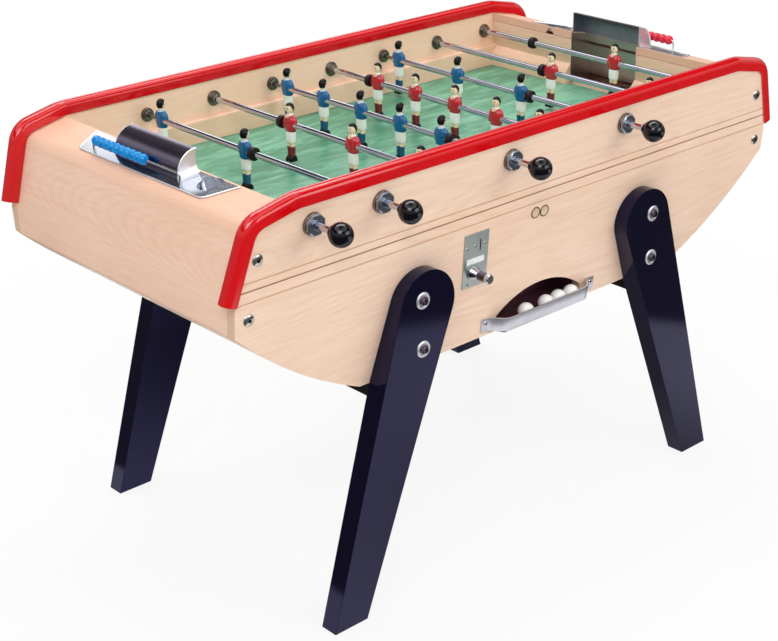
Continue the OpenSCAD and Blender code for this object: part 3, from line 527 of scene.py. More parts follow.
def nested_arches(tree):
    """Arches one inside the next, as where a board is cut near the heart; their axis is along Y."""
    place = axes(tree)
    bend = noise(tree, (5, 3, 5), 1, 0.4)
    off = sums(tree, "SUBTRACT", place["Z"], ARCH_Z)
    wide = times(tree, times(tree, off, off), 46)
    return plus(tree, plus(tree, wide, place["Y"]), times(tree, bend, 0.16))


def beech(name, pale, deep, grain, coat=0.25, arches=False):
    """Lacquered steamed beech: a broad wavy figure, fine fibres and short dark flecks along the grain.

    With arches the figure is nested arches, and above the panel's bend the wood turns towards its deep tone
    as painted shade on the roof.
    """
    made, tree, shader = new_finish(name, rough=0.42, coat=coat, coat_rough=0.18, specular=0.45)
    pale = srgb(*pale)
    deep = srgb(*deep)
    figure_scale, fibre_scale = grain
    if arches:
        figure = times(tree, nested_arches(tree), ARCH_LINES)
    else:
        figure = times(tree, noise(tree, figure_scale, 1.2, 0.35, 0.4), FIGURE_LINES)
    line = ramp(tree, sums(tree, "FRACT", figure), (0, 0.4), (0.22, 0.1), (0.6, 0), (1, 0.4))
    fibre = noise(tree, fibre_scale, 4, 0.6)
    streak = ramp(tree, fibre, (0.3, 0), (0.75, 1))
    fleck_scale = tuple(4.2 * value for value in fibre_scale)
    fleck = ramp(tree, noise(tree, fleck_scale, 1), (0.66, 0), (0.78, 0.7))
    cloud = ramp(tree, noise(tree, 3), (0.3, 0), (0.75, 0.5))
    tone = times(tree, line, 0.42)
    for layer, weight in ((streak, 0.36), (fleck, 0.35), (cloud, 0.5)):
        tone = plus(tree, tone, times(tree, layer, weight))
    colour = mixed(tree, tone, pale, deep)
    if arches:
        # Painted shade: the roof above the bend is darkened towards the deep colour.
        colour = mixed(tree, passed(tree, axes(tree)["Z"], 0, 0.75, *ROOF_PAINTED_SHADE_FADE), colour, deep)
    tree.links.new(colour, shader.inputs["Base Color"])
    spread_rough(tree, shader, fibre, 0.36, 0.5)
    raise_by(tree, shader, streak, 0.02, 0.5)
    return made


def ply_edge(name, lean):
    """The cut edge of the ply: thin layers, pale and brown by turns."""
    made, tree, shader = new_finish(name, rough=0.5, coat=0.15, coat_rough=0.25)
    across = axes(tree, (lean, 0, 0))["Y"]
    layer = sums(tree, "FRACT", times(tree, across, 1 / (PLY_PAIR * MM)))
    brown = srgb(224, 186, 150)
    band = ramp(tree, layer, (0, brown), (0.42, srgb(220, 178, 140)), (0.5, srgb(242, 212, 184)),
                (0.94, srgb(240, 208, 180)), (1, brown))
    fibre = noise(tree, (90, 700, 90), 3)
    colour = mixed(tree, times(tree, fibre, 0.35), band, srgb(206, 162, 124))
    tree.links.new(colour, shader.inputs["Base Color"])
    spread_rough(tree, shader, fibre, 0.42, 0.6)
    raise_by(tree, shader, layer, 0.03, 0.4)
    return made


def field_green():
    """Green laminate with faint strokes along the field and a few scuffs."""
    made, tree, shader = new_finish("Field laminate", rough=0.4, coat=0.15, coat_rough=0.25)
    stroke = noise(tree, (8, 34, 34), 4, 0.7, 0.8)
    cloud = noise(tree, (2.2, 3.4, 3.4))
    tone = plus(tree, times(tree, stroke, 0.65), times(tree, cloud, 0.35))
    base = ramp(tree, tone, (0.4, srgb(68, 138, 108)), (0.5, srgb(94, 164, 132)), (0.6, srgb(130, 194, 164)))
    scuff = ramp(tree, noise(tree, (18, 260, 60)), (0.7, 0), (0.8, 0.35))
    tree.links.new(mixed(tree, scuff, base, srgb(150, 206, 178)), shader.inputs["Base Color"])
    spread_rough(tree, shader, stroke, 0.34, 0.5)
    raise_by(tree, shader, noise(tree, 400), 0.01, 0.4)
    return made


def clouded(name, colour, worn, cloud, fade, gloss, relief, **values):
    """An even colour with clouds of a worn one, gloss that wanders with them, and fine relief.

    cloud is the clouds' noise (scale, detail), fade the two stops of their ramp, gloss the lowest and highest
    roughness, and relief (noise scale, detail, depth in millimetres, strength).
    """
    made, tree, shader = new_finish(name, **values)
    spots = noise(tree, *cloud)
    tinted(tree, shader, ramp(tree, spots, *fade), colour, worn)
    spread_rough(tree, shader, spots, *gloss)
    scale, detail, depth, strength = relief
    raise_by(tree, shader, noise(tree, scale, detail), depth, strength)
    return made


def gloss_paint(name, colour, worn, rough, coat, specular, tint=(1, 1, 1)):
    """Sprayed or dipped enamel: an even colour with soft clouding, faint orange peel and a hard gloss."""
    return clouded(name, colour, worn, (14, 3), ((0.35, 0), (0.75, 0.45)), (rough * 0.8, rough * 1.5),
                   (260, 1, 0.012, 0.35), rough=rough, coat=coat, coat_rough=0.06, specular=specular,
                   tint=tint)


def cast_paint(name, colour, worn, rough=0.3, coat=0.35):
    """Hand-laid enamel on a small casting, a little uneven, worn thin in spots."""
    return clouded(name, colour, worn, (180, 3), ((0.4, 0), (0.72, 0.6)), (rough * 0.75, rough * 1.35),
                   (180, 3, 0.08, 0.35), rough=rough, coat=coat, coat_rough=0.12)


def bright_metal(name, colour, rough, brush_scale, stain, relief=0.004, metal=1.0):
    """Plated or polished metal with fine lines, faint smears and small changes of gloss."""
    made, tree, shader = new_finish(name, metal=metal, rough=rough)
    brush = noise(tree, brush_scale, 3, 0.6)
    smear = noise(tree, 30, 3)
    tinted(tree, shader, ramp(tree, smear, (0.4, 0), (0.8, 0.6)), colour, stain)
    wander = plus(tree, times(tree, brush, 0.6), times(tree, smear, 0.4))
    spread_rough(tree, shader, wander, rough * 0.8, rough * 1.25)
    raise_by(tree, shader, brush, relief, 0.5)
    return made


def clear_plastic(name, colour, deep):
    """Tinted plastic that lets a little light through, clouded and dented inside."""
    return clouded(name, colour, deep, (110, 2), ((0.35, 0), (0.7, 1)), (0.08, 0.18),
                   (420, 1, 0.5, 0.6), rough=0.08, clear=0.04, ior=1.45, specular=0.4)


def dark_rubber(name, colour, worn, rough, specular=0.5):
    """Dark moulded rubber, plastic or enamel, faintly clouded and pitted."""
    return clouded(name, colour, worn, (60, 2), ((0.4, 0), (0.75, 0.7)), (rough * 0.8, rough * 1.25),
                   (500, 2, 0.03, 0.3), rough=rough, specular=specular)


# Scales of the wood's figure and fibre, for grain along X and along Y.
GRAIN_X = ((1.1, 9, 9), (9, 210, 210))
GRAIN_Y = ((7, 1.2, 6), (150, 8, 150))
FIGURE_LINES = 21
ARCH_LINES = 23
ARCH_Z = 0.79
# Heights in metres over which the roof's painted shade fades in.
ROOF_PAINTED_SHADE_FADE = (0.835, 0.87)
PLY_PAIR = 3
WOOD = beech("Beech side", (247, 219, 197), (221, 178, 146), GRAIN_X)
# Painted light: the boards' inner faces get a brighter, warmer copy of the side beech, offsetting the shade
# and the field's green bounce inside the cabinet.
WOOD_INSIDE_PAINTED_LIGHT = beech("Beech inside", (255, 220, 194), (246, 194, 158), GRAIN_X, 0.1)
# Painted shade: the groove faces get darker copies of the side beech, the middle groove darkest, standing for
# the shade in the grooves.
GROOVE_PAINTED_SHADE = beech("Groove", (232, 198, 166), (214, 174, 138), GRAIN_X, 0)
MIDDLE_GROOVE_PAINTED_SHADE = beech("Groove dark", (196, 152, 112), (172, 126, 88), GRAIN_X, 0)
WOOD_END = beech("Beech end", (253, 219, 195), (232, 181, 152), GRAIN_Y, 0.1, True)
WOOD_CROSS = beech("Beech goal wall", (253, 217, 190), (230, 182, 148), GRAIN_Y, 0.1)
STRIP = beech("Beech strip", (255, 218, 192), (246, 192, 154), GRAIN_X, 0.3)
EDGE_NEAR = ply_edge("Ply edge near", LEAN)
EDGE_FAR = ply_edge("Ply edge far", -LEAN)
# Painted shade: dark purple-brown beech for the ball return, standing for the shade inside the cabinet.
DARK_WOOD_PAINTED_SHADE = beech("Stained run", (108, 64, 78), (62, 34, 44), GRAIN_X, 0.1)
FIELD = field_green()
LACQUER_TINT = (0.38, 0.36, 1)
RED = gloss_paint("Rail red", (208, 8, 18), (190, 5, 14), 0.1, 0.4, 0.35)
NAVY = gloss_paint("Leg lacquer", (7, 5, 24), (6, 4, 18), 0.07, 0, 0.58, LACQUER_TINT)
BEAM_BLACK = gloss_paint("Beam black", (7, 7, 9), (10, 9, 12), 0.35, 0, 0.1)
CHROME = bright_metal("Rod chrome", (198, 202, 214), 0.09, (600, 14, 600), (176, 180, 194), 0.001)
NUT_CHROME = bright_metal("Bearing chrome", (168, 172, 186), 0.26, 90, (146, 150, 164), 0.001)
# Painted shade: a darker, browner copy of the bearing chrome for the flanges behind the nuts, the inner rings
# and the anchors.
CHROME_PAINTED_SHADE = bright_metal("Flange chrome", (128, 120, 112), 0.22, 220, (90, 84, 78))
WIRE = bright_metal("Wire chrome", (216, 218, 224), 0.12, 300, (180, 182, 190))
BOLT_DARK = bright_metal("Blued bolt", (120, 108, 122), 0.3, 300, (96, 86, 100))
SCREW = bright_metal("Screw plating", (214, 212, 206), 0.14, 300, (176, 170, 160))
HOOD_STEEL = bright_metal("Hood steel", (116, 108, 126), 0.2, (40, 6, 40), (100, 94, 110), 0.001)
HOOD_INSIDE = bright_metal("Hood inside", (150, 152, 168), 0.5, (20, 60, 20), (128, 130, 146))
LINING = bright_metal("Goal lining", (196, 178, 176), 0.3, (30, 30, 8), (168, 152, 154))
CHEEK = bright_metal("Hood cheek", (240, 241, 245), 0.42, 160, (226, 228, 233))
TRAY_STEEL = bright_metal("Tray steel", (200, 204, 213), 0.17, 60, (222, 224, 231), 0.002)
GUARD = bright_metal("Guard aluminium", (232, 232, 240), 0.34, (12, 300, 300), (210, 210, 222), 0.006)
PLATE = bright_metal("Coin plate steel", (206, 214, 210), 0.36, (260, 260, 60), (168, 178, 176), 0.012)
BRASS = bright_metal("Cap brass", (240, 214, 182), 0.3, 200, (222, 190, 154), 0.004, 0.3)
# Painted shade: a dark brown copy for the caps' rims, standing for the dark ring round each cap.
CAP_RIM_PAINTED_SHADE = bright_metal("Cap rim", (128, 104, 72), 0.35, 200, (96, 78, 54), 0.004, 0.6)
BLUE_BEAD = clear_plastic("Blue bead", (0, 154, 226), (0, 112, 192))
RED_BEAD = clear_plastic("Red bead", (232, 44, 66), (200, 20, 44))
GRIP_BLACK = dark_rubber("Grip black", (4, 3, 9), (6, 5, 13), 0.07, 0.4)
RUBBER = dark_rubber("Bumper rubber", (22, 12, 20), (36, 22, 32), 0.4, 0.25)
# Painted shade: near-black for the screws' hexagon sockets and the coin slot's walls.
RECESS_PAINTED_SHADE = dark_rubber("Dark recess", (14, 13, 14), (24, 22, 24), 0.5)
LABEL = cast_paint("Label white", (238, 240, 238), (222, 226, 224), 0.35)
BALL = cast_paint("Ball white", (255, 255, 255), (252, 252, 252), 0.35, 0.2)
SKIN = cast_paint("Player skin", (246, 226, 190), (234, 206, 164))
HAIR = dark_rubber("Player hair", (6, 5, 9), (14, 12, 17), 0.3, 0.22)
SHORTS = cast_paint("Player white", (253, 253, 250), (238, 238, 232))
SHOE = dark_rubber("Player shoe", (8, 8, 10), (18, 18, 21), 0.3, 0.22)
BLUE_SHIRT = cast_paint("Blue shirt", (0, 102, 158), (0, 50, 92), 0.22, 0.1)
BLUE_SOCK = cast_paint("Blue sock", (14, 86, 128), (8, 58, 92))
RED_SHIRT = cast_paint("Red shirt", (200, 16, 38), (152, 8, 28), 0.18, 0.6)
RED_SOCK = cast_paint("Red sock", (128, 16, 32), (92, 10, 24))
BLUE_COLLAR = cast_paint("Blue collar", (206, 226, 238), (180, 206, 226))
RED_COLLAR = cast_paint("Red collar", (246, 240, 226), (236, 222, 200))


# Cabinet

def between(value, span):
    return span[0] < value < span[1]


def board_faces(face):
    """The boards' outer faces are 0, cut edges 1, inner faces 2 and grooves 3, the middle groove 4; the
    grooves' finishes carry painted shade.
    """
    centre = face.calc_center_median() / MM
    deep = outer_y(centre.z) - abs(centre.y)
    whole_length = abs(centre.x) < GROOVE_MID_X and face.calc_area() > GROOVE_AREA
    if whole_length and between(deep, GROOVE_DEEP) and between(centre.z, GROOVES_Z):
        return 4 if between(centre.z, MIDDLE_GROOVE_Z) else 3
    if abs(face.normal.y) < SIDEWAYS:
        return 1
    # Inner faces take the brighter copy of the beech, which is painted light.
    return 0 if face.normal.y * centre.y > 0 else 2


def cabinet_woods():
    for node, edge_finish in (("side_board_near", EDGE_NEAR), ("side_board_far", EDGE_FAR)):
        dressed(node, (WOOD, edge_finish, WOOD_INSIDE_PAINTED_LIGHT, GROOVE_PAINTED_SHADE, MIDDLE_GROOVE_PAINTED_SHADE), board_faces)
    dressed("end_panels", (WOOD_END,), edge=1)
    dressed("goal_walls", (WOOD_CROSS,))
    dressed("playfield", (FIELD,))
    dressed("field_strips", (STRIP,), edge=0.6)
    dressed("belly_panel", (WOOD,))


def leg_faces():
    for side in ("near", "far"):
        for end in ("left", "right"):
            dressed(f"leg_{side}_{end}", (NAVY,), edge=3, steps=4)
    dressed("crossbeams", (BEAM_BLACK,), edge=2, steps=3)


def rail_pipes():
    dressed("rails", (RED,), edge=0.8, sharp=45)


def inside_runs():
    dressed("ball_return", (DARK_WOOD_PAINTED_SHADE,), edge=0.5)
    dressed("ball_gate", (TRAY_STEEL,), edge=0.3)


# Ends

def hood_faces(face):
    """The hood's outer sheet is 0, its inner sheet 1 and its cheeks 2."""
    centre = face.calc_center_median() / MM
    if abs(face.normal.y) > SIDEWAYS:
        return 2 if abs(centre.y) > CHEEK_Y - 1 else 1
    reach = hypot(abs(centre.x) - HOOD_X, centre.z - HOOD_Z)
    return 0 if reach > HOOD_R - 0.9 else 1


def goal_hoods():
    dressed("goal_hoods", (HOOD_STEEL, HOOD_INSIDE, CHEEK), hood_faces, edge=0.3)


def both_ends(bm, name, finishes):
    """A piece drawn for the right end, and the same turned half a turn for the left."""
    places = [((0, 0, 0), NO_TURN), ((0, 0, 0), HALF_TURN)]
    repeated(name, bm, places, finishes)


def sheet(bm, line, low, high, thick):
    """A bent sheet between two places across the cabinet, its line given as pairs of (x, z)."""
    rings = []
    for (x, z), ahead in zip(line, tangents(line)):
        off = Vector((-ahead.y, ahead.x)).normalized() * thick
        rings.append([vert(bm, p) for p in (
            (x, low, z), (x, high, z), (x + off.x, high, z + off.y), (x + off.x, low, z + off.y))])
    join_capped(bm, rings)


def goal_linings():
    """Polished sheet round each goal's mouth: a bent back over the ball's drop and two side sheets."""
    bm = bmesh.new()
    back = rounded([(654.2, 872), (654.2, 851.5), (671.2, 842.5), (671.2, 768), (674, 765)], 5, 4)
    sheet(bm, back, -LINING_Y, LINING_Y, 0.8)
    side = [(607.1, 757.4), (671, 757.4), (671, 842.4), (654.2, 851.5), (654.2, 868.5), (607.1, 878.6)]
    for y in (-LINING_Y, LINING_Y):
        inner = [vert(bm, (x, y, z)) for x, z in side]
        outer = [vert(bm, (x, y + copysign(0.35, y), z)) for x, z in side]
        rim = list(zip(inner, outer))
        bm.faces.new(inner)
        bm.faces.new(outer)
        for (a, b), (c, d) in zip(rim, rim[1:] + rim[:1]):
            bm.faces.new([a, b, d, c])
    both_ends(bm, "goal_linings", (LINING,))


def tube_along(bm, points, radius, sides=10):
    """A round bead along a line of millimetre points."""
    rings = []
    for point, ahead in zip(points, tangents(points)):
        ahead.normalize()
        side = ahead.cross(Vector((0, 1, 0)))
        if side.length < 0.1:
            side = ahead.cross(Vector((0, 0, 1)))
        side.normalize()
        rings.append(circle(bm, Vector(point), radius, side, ahead.cross(side), sides))
    first, last = [[vert(bm, point)] for point in (points[0], points[-1])]
    join_rings(bm, [first] + rings + [last])


def roof_z(x):
    """The height of the roof at a place along the cabinet."""
    return ROOF_Z - ROOF_SLOPE * (x - ROOF_X)


def hood_rims():
    """A rolled rim round each cheek of a hood, and the hollow flare from the cheek down into the tray."""
    bm = bmesh.new()
    rim_r = 1.5
    line_r = HOOD_R - rim_r
    front = HOOD_X + HOOD_R
    for y in (-1, 1):
        rim = [(HOOD_X + line_r * cos(a), y * (CHEEK_Y + 0.4), HOOD_Z + line_r * sin(a))
               for a in arc(-9, 90, 24)]
        tube_along(bm, rim, rim_r)
        rings = []
        for x, flare_r in ((HOOD_X + 0.2, 11), (HOOD_X + 14, 11), (HOOD_X + 28, 11), (front - 3.5, 11),
                           (front - 0.8, 2.75)):
            base = roof_z(x) + TRAY_T
            ring = [vert(bm, (x, y * (CHEEK_Y - 0.6), base - 1))]
            for a in arc(0, 90, 8):
                ring.append(vert(bm, (
                    x, y * (CHEEK_Y + flare_r * (1 - cos(a))), base + flare_r * (1 - sin(a)))))
            rings.append(ring)
        join_capped(bm, rings)
    both_ends(bm, "hood_rims", (CHEEK,))


def tray_rims():
    """A rolled edge along the three outer sides of each end tray."""
    bm = bmesh.new()
    slope = atan(ROOF_SLOPE)
    outline = rounded([(6.5, -227.6), (69.8, -197), (69.8, 197), (6.5, 227.6)], 14, 6)
    line = [(ROOF_X + s * cos(slope) + TRAY_T * sin(slope), y, ROOF_Z - s * sin(slope) + TRAY_T * cos(slope))
            for s, y in outline]
    tube_along(bm, line, 1.4)
    both_ends(bm, "tray_rims", (CHEEK,))


def end_trays():
    dressed("end_trays", (TRAY_STEEL,), edge=0.7, steps=3)
    dressed("score_wires", (WIRE,), edge=0)


def bead_unit():
    """One bead: a round body cut with small flats, and a flat at each end round the wire's hole."""
    bm = bmesh.new()
    radius = 10.5
    half = 8.35
    hole = 2.05
    body = [(radius * sin(a), radius * cos(a)) for a in arc(-52, 52, 6)]
    profile = [(-half, hole), (-half, 5.5), (-half + 0.3, 6.2)] + body
    profile += [(half - 0.3, 6.2), (half, 5.5), (half, hole), (-half, hole)]
    turned(bm, profile, 14, axis=(0, 1, 0))
    weld(bm)
    return bm


def score_beads():
    right = [((WIRE_X, BEAD_Y + BEAD_STEP * k, WIRE_Z), NO_TURN) for k in range(10)]
    left = [((-x, -y, z), turn) for (x, y, z), turn in right]
    wires = (("blue", "left", BLUE_BEAD, left), ("red", "right", RED_BEAD, right))
    for colour, side, finish, places in wires:
        repeated(colour + "_beads", bead_unit(), places, (finish,),
                 ("score_beads_" + side,), 8, "beads_" + side)


# Rods

def on_rod(n, start, sides, *outlines):
    """Outlines turned about a rod, measured along it from a place and away from its grip."""
    bm = bmesh.new()
    for outline in outlines:
        turned(bm, outline, sides, at=(ROD_X[n], start, ROD_Z), axis=(0, -ROD_SIDE[n], 0))
    return bm


def tube_profile(shift):
    """The tube from the disc in its grip to its open end, hollow for a short way."""
    end = GRIP_END + TUBE_END - shift
    return [(-0.5, 0), (-0.5, 4), (10.4, 4), (10.4, 5.9), (11, TUBE_R), (end - 0.6, TUBE_R), (end, 6),
            (end, 4.1), (end - 30, 4.1)]


def rod_tubes():
    for n, rod in enumerate(RODS):
        bm = on_rod(n, ROD_SIDE[n] * GRIP_END, 48, tube_profile(ROD_SHIFT[n]))
        new_piece(rod + "_pipe", bm, (CHROME,), rod, (rod + "_tube",))


def grip_profile():
    """Outer end to neck: a dimple round the rod's disc, the round head and the taper to the neck."""
    radius = 22.5
    head = [(radius - radius * cos(a), radius * sin(a)) for a in arc(12, 120, 16)]
    taper = [(38, 16.7), (42, 14), (44.2, 12.4), (45.6, 11.2), (46.4, 9.8), (46.5, 6.55)]
    return [(1.2, 4.2), (0.5, 4.4)] + head + taper


def rod_grips():
    for n, rod in enumerate(RODS):
        bm = on_rod(n, ROD_SIDE[n] * GRIP_END, 48, grip_profile())
        bmesh.ops.holes_fill(bm, edges=bm.edges, sides=0)
        new_piece(rod + "_handle", bm, (GRIP_BLACK,), rod, (rod + "_grip",), 50)


def rod_bumpers():
    disc = rounded([(-6, 6.56), (-6, 13.5), (6, 13.5), (6, 6.56)], 2.2)
    collar = rounded([(-7.5, 6.56), (-7.5, 9.4), (-5.5, 9.4), (-5.5, 6.56)], 0.5)
    for n, rod in enumerate(RODS):
        bm = on_rod(n, BUMPER_Y[n], 40, disc + disc[:1], collar + collar[:1])
        weld(bm)
        new_piece(rod + "_stop", bm, (RUBBER,), rod + "_slider", (rod + "_bumper",), 50)


def bearing_unit():
    """The grip-side bearing, drawn for the near side: flange, eight-sided nut and the sleeve ring."""
    bm = bmesh.new()
    face = outer_y(ROD_Z)
    turned(bm, rounded([(face - 1.6, 9), (face - 1.6, 22), (face + 7, 21.2), (face + 7, 9)], 1.6), 48, 1)
    nut(bm, face + 7, face + 13)
    ring = [(face + 9, 9.4), (face + 13, 9.4), (face + 13, 7.9), (face + 11.4, 7.4), (face + 11.4, 6.6),
            (face + 9, 6.6)]
    turned(bm, rounded(ring, 0.5))
    return bm


def nut(bm, low, high):
    """An eight-sided nut with a chamfered rim and a shallow recess."""
    half_step = radians(22.5)
    corner_r = 39 / 2 / cos(half_step)
    rings = []
    for along, radius in ((low, 8), (low, corner_r - 0.6), (low + 0.6, corner_r), (high - 1.8, corner_r),
                          (high, corner_r - 2.4), (high, 12.8), (high - 0.8, 12.4), (high - 0.8, 8)):
        angles = [half_step + TURN * k / 8 for k in range(8)]
        rings.append([vert(bm, (radius * cos(a), -along, radius * sin(a))) for a in angles])
    join_rings(bm, rings)


def inner_flange_unit():
    """The ringed flange inside the board, drawn for the near side."""
    bm = bmesh.new()
    steps = [(-2, 16.5), (3.2, 16.5), (3.2, 12.2), (6.4, 12.2), (6.4, 9.6), (7.2, 9.6), (7.2, 11.4),
             (10.2, 11.4), (10.2, 9), (11, 9), (11, 10.4), (14.4, 9.8), (15, 9.2), (15, 6.6)]
    turned(bm, rounded(steps, 0.7, 3), at=(0, -inner_y(ROD_Z), 0), axis=(0, 1, 0))
    return bm


def anchor_unit():
    """The fixed inner rod and its ringed anchor, drawn for a rod whose anchor is on the near board."""
    bm = bmesh.new()
    wall = inner_y(ROD_Z)
    rod_end = wall + 60
    steps = [(-2, 15), (2.6, 15), (2.6, 12.4), (3.4, 12.4), (3.4, 14), (5.6, 14), (5.6, 9.8),
             (6.4, 9.8), (6.4, 11), (9.4, 10.4), (10, 9.8), (10, 4)]
    turned(bm, rounded(steps, 0.6, 3) + [(rod_end, 4), (rod_end, 0)], at=(0, -wall, 0), axis=(0, 1, 0))
    return bm


def bearings():
    near = [((ROD_X[n], 0, ROD_Z), NO_TURN if ROD_SIDE[n] < 0 else HALF_TURN) for n in range(len(RODS))]
    far = [(at, HALF_TURN if turn == NO_TURN else NO_TURN) for at, turn in near]
    repeated("bearing_nuts", bearing_unit(), near, (NUT_CHROME, CHROME_PAINTED_SHADE),
             ("rod_bushings",), 30)
    repeated("bearing_rings", inner_flange_unit(), near, (CHROME_PAINTED_SHADE,))
    repeated("rod_anchors", anchor_unit(), far, (CHROME_PAINTED_SHADE,), ("guide_rods",))


# Players: measured in millimetres from the rod, facing +X. HEAD is half the head's size, and the other names
# number a figure's finishes.
HEAD = (9.7, 8.6, 11.4)
SKIN_F, HAIR_F, SHIRT_F, COLLAR_F, SHORTS_F, SOCK_F, SHOE_F = range(7)


def player_legs(bm):
    for y in (-4.9, 4.9):
        loft(bm, [(-50, 0, y, 4.6, 4.3, 2.1), (-47, 0, y, 5, 4.5, 2.1), (-44, 0.2, y, 5.5, 4.7, 2.1),
                  (-41, 0.3, y, 5.8, 4.9, 2.2), (-36, 0.2, y * 0.95, 6, 5.1, 2.2)], SKIN_F, 12)
        loft(bm, [(-70, -0.4, y, 4.6, 4.2, 2.2), (-66, -0.4, y, 4.8, 4.4, 2.2), (-58, -0.2, y, 5.2, 4.8, 2.2),
                  (-49.8, 0, y, 5.4, 4.8, 2.2), (-49, 0, y, 5.8, 5.1, 2.2), (-46.6, 0, y, 5.8, 5.1, 2.2),
                  (-46, 0, y, 4.7, 4.5, 2.1)], SOCK_F, 12)
        loft(bm, [(-78, 0.4, y, 9.8, 4.8, 3), (-77.6, 0.4, y, 10.4, 5.3, 3),
                  (-76.6, 0.4, y, 10.6, 5.4, 3), (-72.5, 0.6, y, 10, 5.3, 2.7),
                  (-69.5, 0.2, y, 8.6, 5.1, 2.5), (-67, -0.6, y, 6.4, 4.9, 2.4),
                  (-65.5, -0.8, y, 5, 4.4, 2.3)], SHOE_F, 14)


def player_shorts(bm):
    loft(bm, [(-37.4, 0.2, 0, 6.9, 10.7, 2.6), (-36.8, 0.2, 0, 7.6, 11.4, 2.7),
              (-35.4, 0.2, 0, 7.9, 11.8, 2.7), (-30, 0.3, 0, 8.2, 12.2, 2.6), (-22, 0.2, 0, 8.4, 12.4, 2.5),
              (-14, 0, 0, 7.9, 11.9, 2.5), (-10, 0, 0, 7.4, 11.2, 2.4)], SHORTS_F, 20)


def player_shirt(bm):
    loft(bm, [(-14.4, -0.3, 0, 8.2, 12.2, 2.4), (-13.6, -0.3, 0, 8.9, 12.9, 2.5), (-9, 0, 0, 9.4, 13.2, 2.5),
              (-2, 0.2, 0, 10.1, 14, 2.5), (6, 0.5, 0, 10.4, 14.6, 2.5), (12, 0.3, 0, 9.8, 14.4, 2.4),
              (16.5, -0.1, 0, 8.4, 12.4, 2.3), (19.5, -0.4, 0, 6.4, 8.8, 2.2),
              (21.2, -0.4, 0, 4.6, 5.6, 2)], SHIRT_F, 24)
    for y in (-1, 1):
        loft(bm, [(-9.8, 1.6, y * 13.2, 4, 2.8, 2.2), (-8.6, 1.4, y * 13.5, 6, 4.1, 2.3),
                  (-2, 0.6, y * 13.9, 6.8, 4.4, 2.3), (5, 0, y * 13.8, 6.6, 4.4, 2.3),
                  (11, -0.2, y * 13.2, 6.2, 4.3, 2.2), (15, -0.3, y * 12.2, 5.2, 4, 2.1),
                  (17.6, -0.3, y * 11, 3.6, 3.2, 2), (18.6, -0.3, y * 10.4, 2, 2, 2)], SHIRT_F, 14)


def player_collar(bm):
    """A band round the neck and two lapels that meet low on the chest."""
    loft(bm, [(17.8, -0.4, 0, 6.9, 7.9, 2.1), (19.4, -0.4, 0, 6.9, 7.7, 2.1), (22.6, -0.2, 0, 5.6, 5.9, 2),
              (23.2, -0.2, 0, 5, 5.3, 2)], COLLAR_F, 20)
    for y in (-1, 1):
        lapel = [(9.3, 0.6 * y, 9.6), (9.5, 2 * y, 9.4), (7.8, 5.6 * y, 18.6), (6.2, 5.2 * y, 20.4),
                 (7.4, 3.6 * y, 18.8)]
        plate(bm, lapel, 0.9, COLLAR_F)
    plate(bm, [(8.6, -3.4, 18.2), (8.6, 3.4, 18.2), (9.4, 0, 11.4)], 0.5, SKIN_F)
    loft(bm, [(11.2, 9.4, 0, 0.5, 0.9, 2), (12.4, 9.5, 0, 0.9, 1.4, 2), (14.2, 9.3, 0, 0.9, 1.4, 2),
              (15.2, 9, 0, 0.5, 0.9, 2)], HAIR_F, 8)


def plate(bm, points, thick, index):
    """A thin plate from its outer corners, going back along X and 1.2 mm into the shirt."""
    front = [vert(bm, p) for p in points]
    back = [vert(bm, (p[0] - thick - 1.2, p[1], p[2])) for p in points]
    bm.faces.new(front).material_index = index
    bm.faces.new(back[::-1]).material_index = index
    for k in range(len(points)):
        following = (k + 1) % len(points)
        bm.faces.new([front[k], back[k], back[following], front[following]]).material_index = index


def head_way(way):
    """A direction from the head's centre as a point on the bare head."""
    jaw = 1 - 0.16 * max(0, -way.z) * (0.4 + 0.6 * abs(way.y))
    return Vector((way.x * HEAD[0] * jaw, way.y * HEAD[1] * jaw, way.z * HEAD[2]))


def player_head(bm):
    """An egg-shaped head with the hair laid a little proud of the skin, and small painted features."""
    loft(bm, [(19, -0.4, 0, 4.6, 4.8, 2), (26, 0, 0, 4.5, 4.6, 2)], SKIN_F, 16)
    centre = Vector((0.3, 0, 33.8))
    sides = 22
    levels = 16
    rings = []
    for j in range(levels + 1):
        tilt = pi * j / levels - pi / 2
        ring = []
        for k in range(1 if j in (0, levels) else sides):
            angle = TURN * k / sides
            way = Vector((cos(tilt) * cos(angle), cos(tilt) * sin(angle), sin(tilt)))
            grow = 1.05 if is_hair(way) else 1
            ring.append(vert(bm, centre + head_way(way) * grow))
        rings.append(ring)
    start = len(bm.faces)
    join_rings(bm, rings, SKIN_F)
    bm.faces.ensure_lookup_table()
    for face in list(bm.faces)[start:]:
        way = face.calc_center_median() / MM - centre
        way = Vector((way.x / HEAD[0], way.y / HEAD[1], way.z / HEAD[2])).normalized()
        if is_hair(way):
            face.material_index = HAIR_F
    for y in (-3.2, 3.2):
        spot(bm, (8.5, y, 36.4), (1, 2.2, 0.8), HAIR_F)
        spot(bm, (8.8, y, 34.2), (0.9, 1.3, 1), HAIR_F)
        spot(bm, (0.2, y * 2.5, 33.4), (1.6, 1, 2.2), SKIN_F)
    loft(bm, [(30.2, 9.2, 0, 0.9, 1, 2), (31, 9.9, 0, 1.3, 1.4, 2), (32.6, 9.6, 0, 1, 1, 2),
              (35.4, 8.8, 0, 0.5, 0.6, 2)], SKIN_F, 8)
    spot(bm, (8.7, 0, 28.4), (0.5, 1.6, 0.4), SOCK_F)


def is_hair(way):
    """The hairline: over the brow, down behind the ears and across the nape."""
    return way.z > 0.42 + 0.16 * way.x or (way.x < -0.1 and way.z > -0.62) or (way.x < 0.22 and way.z > -0.06)


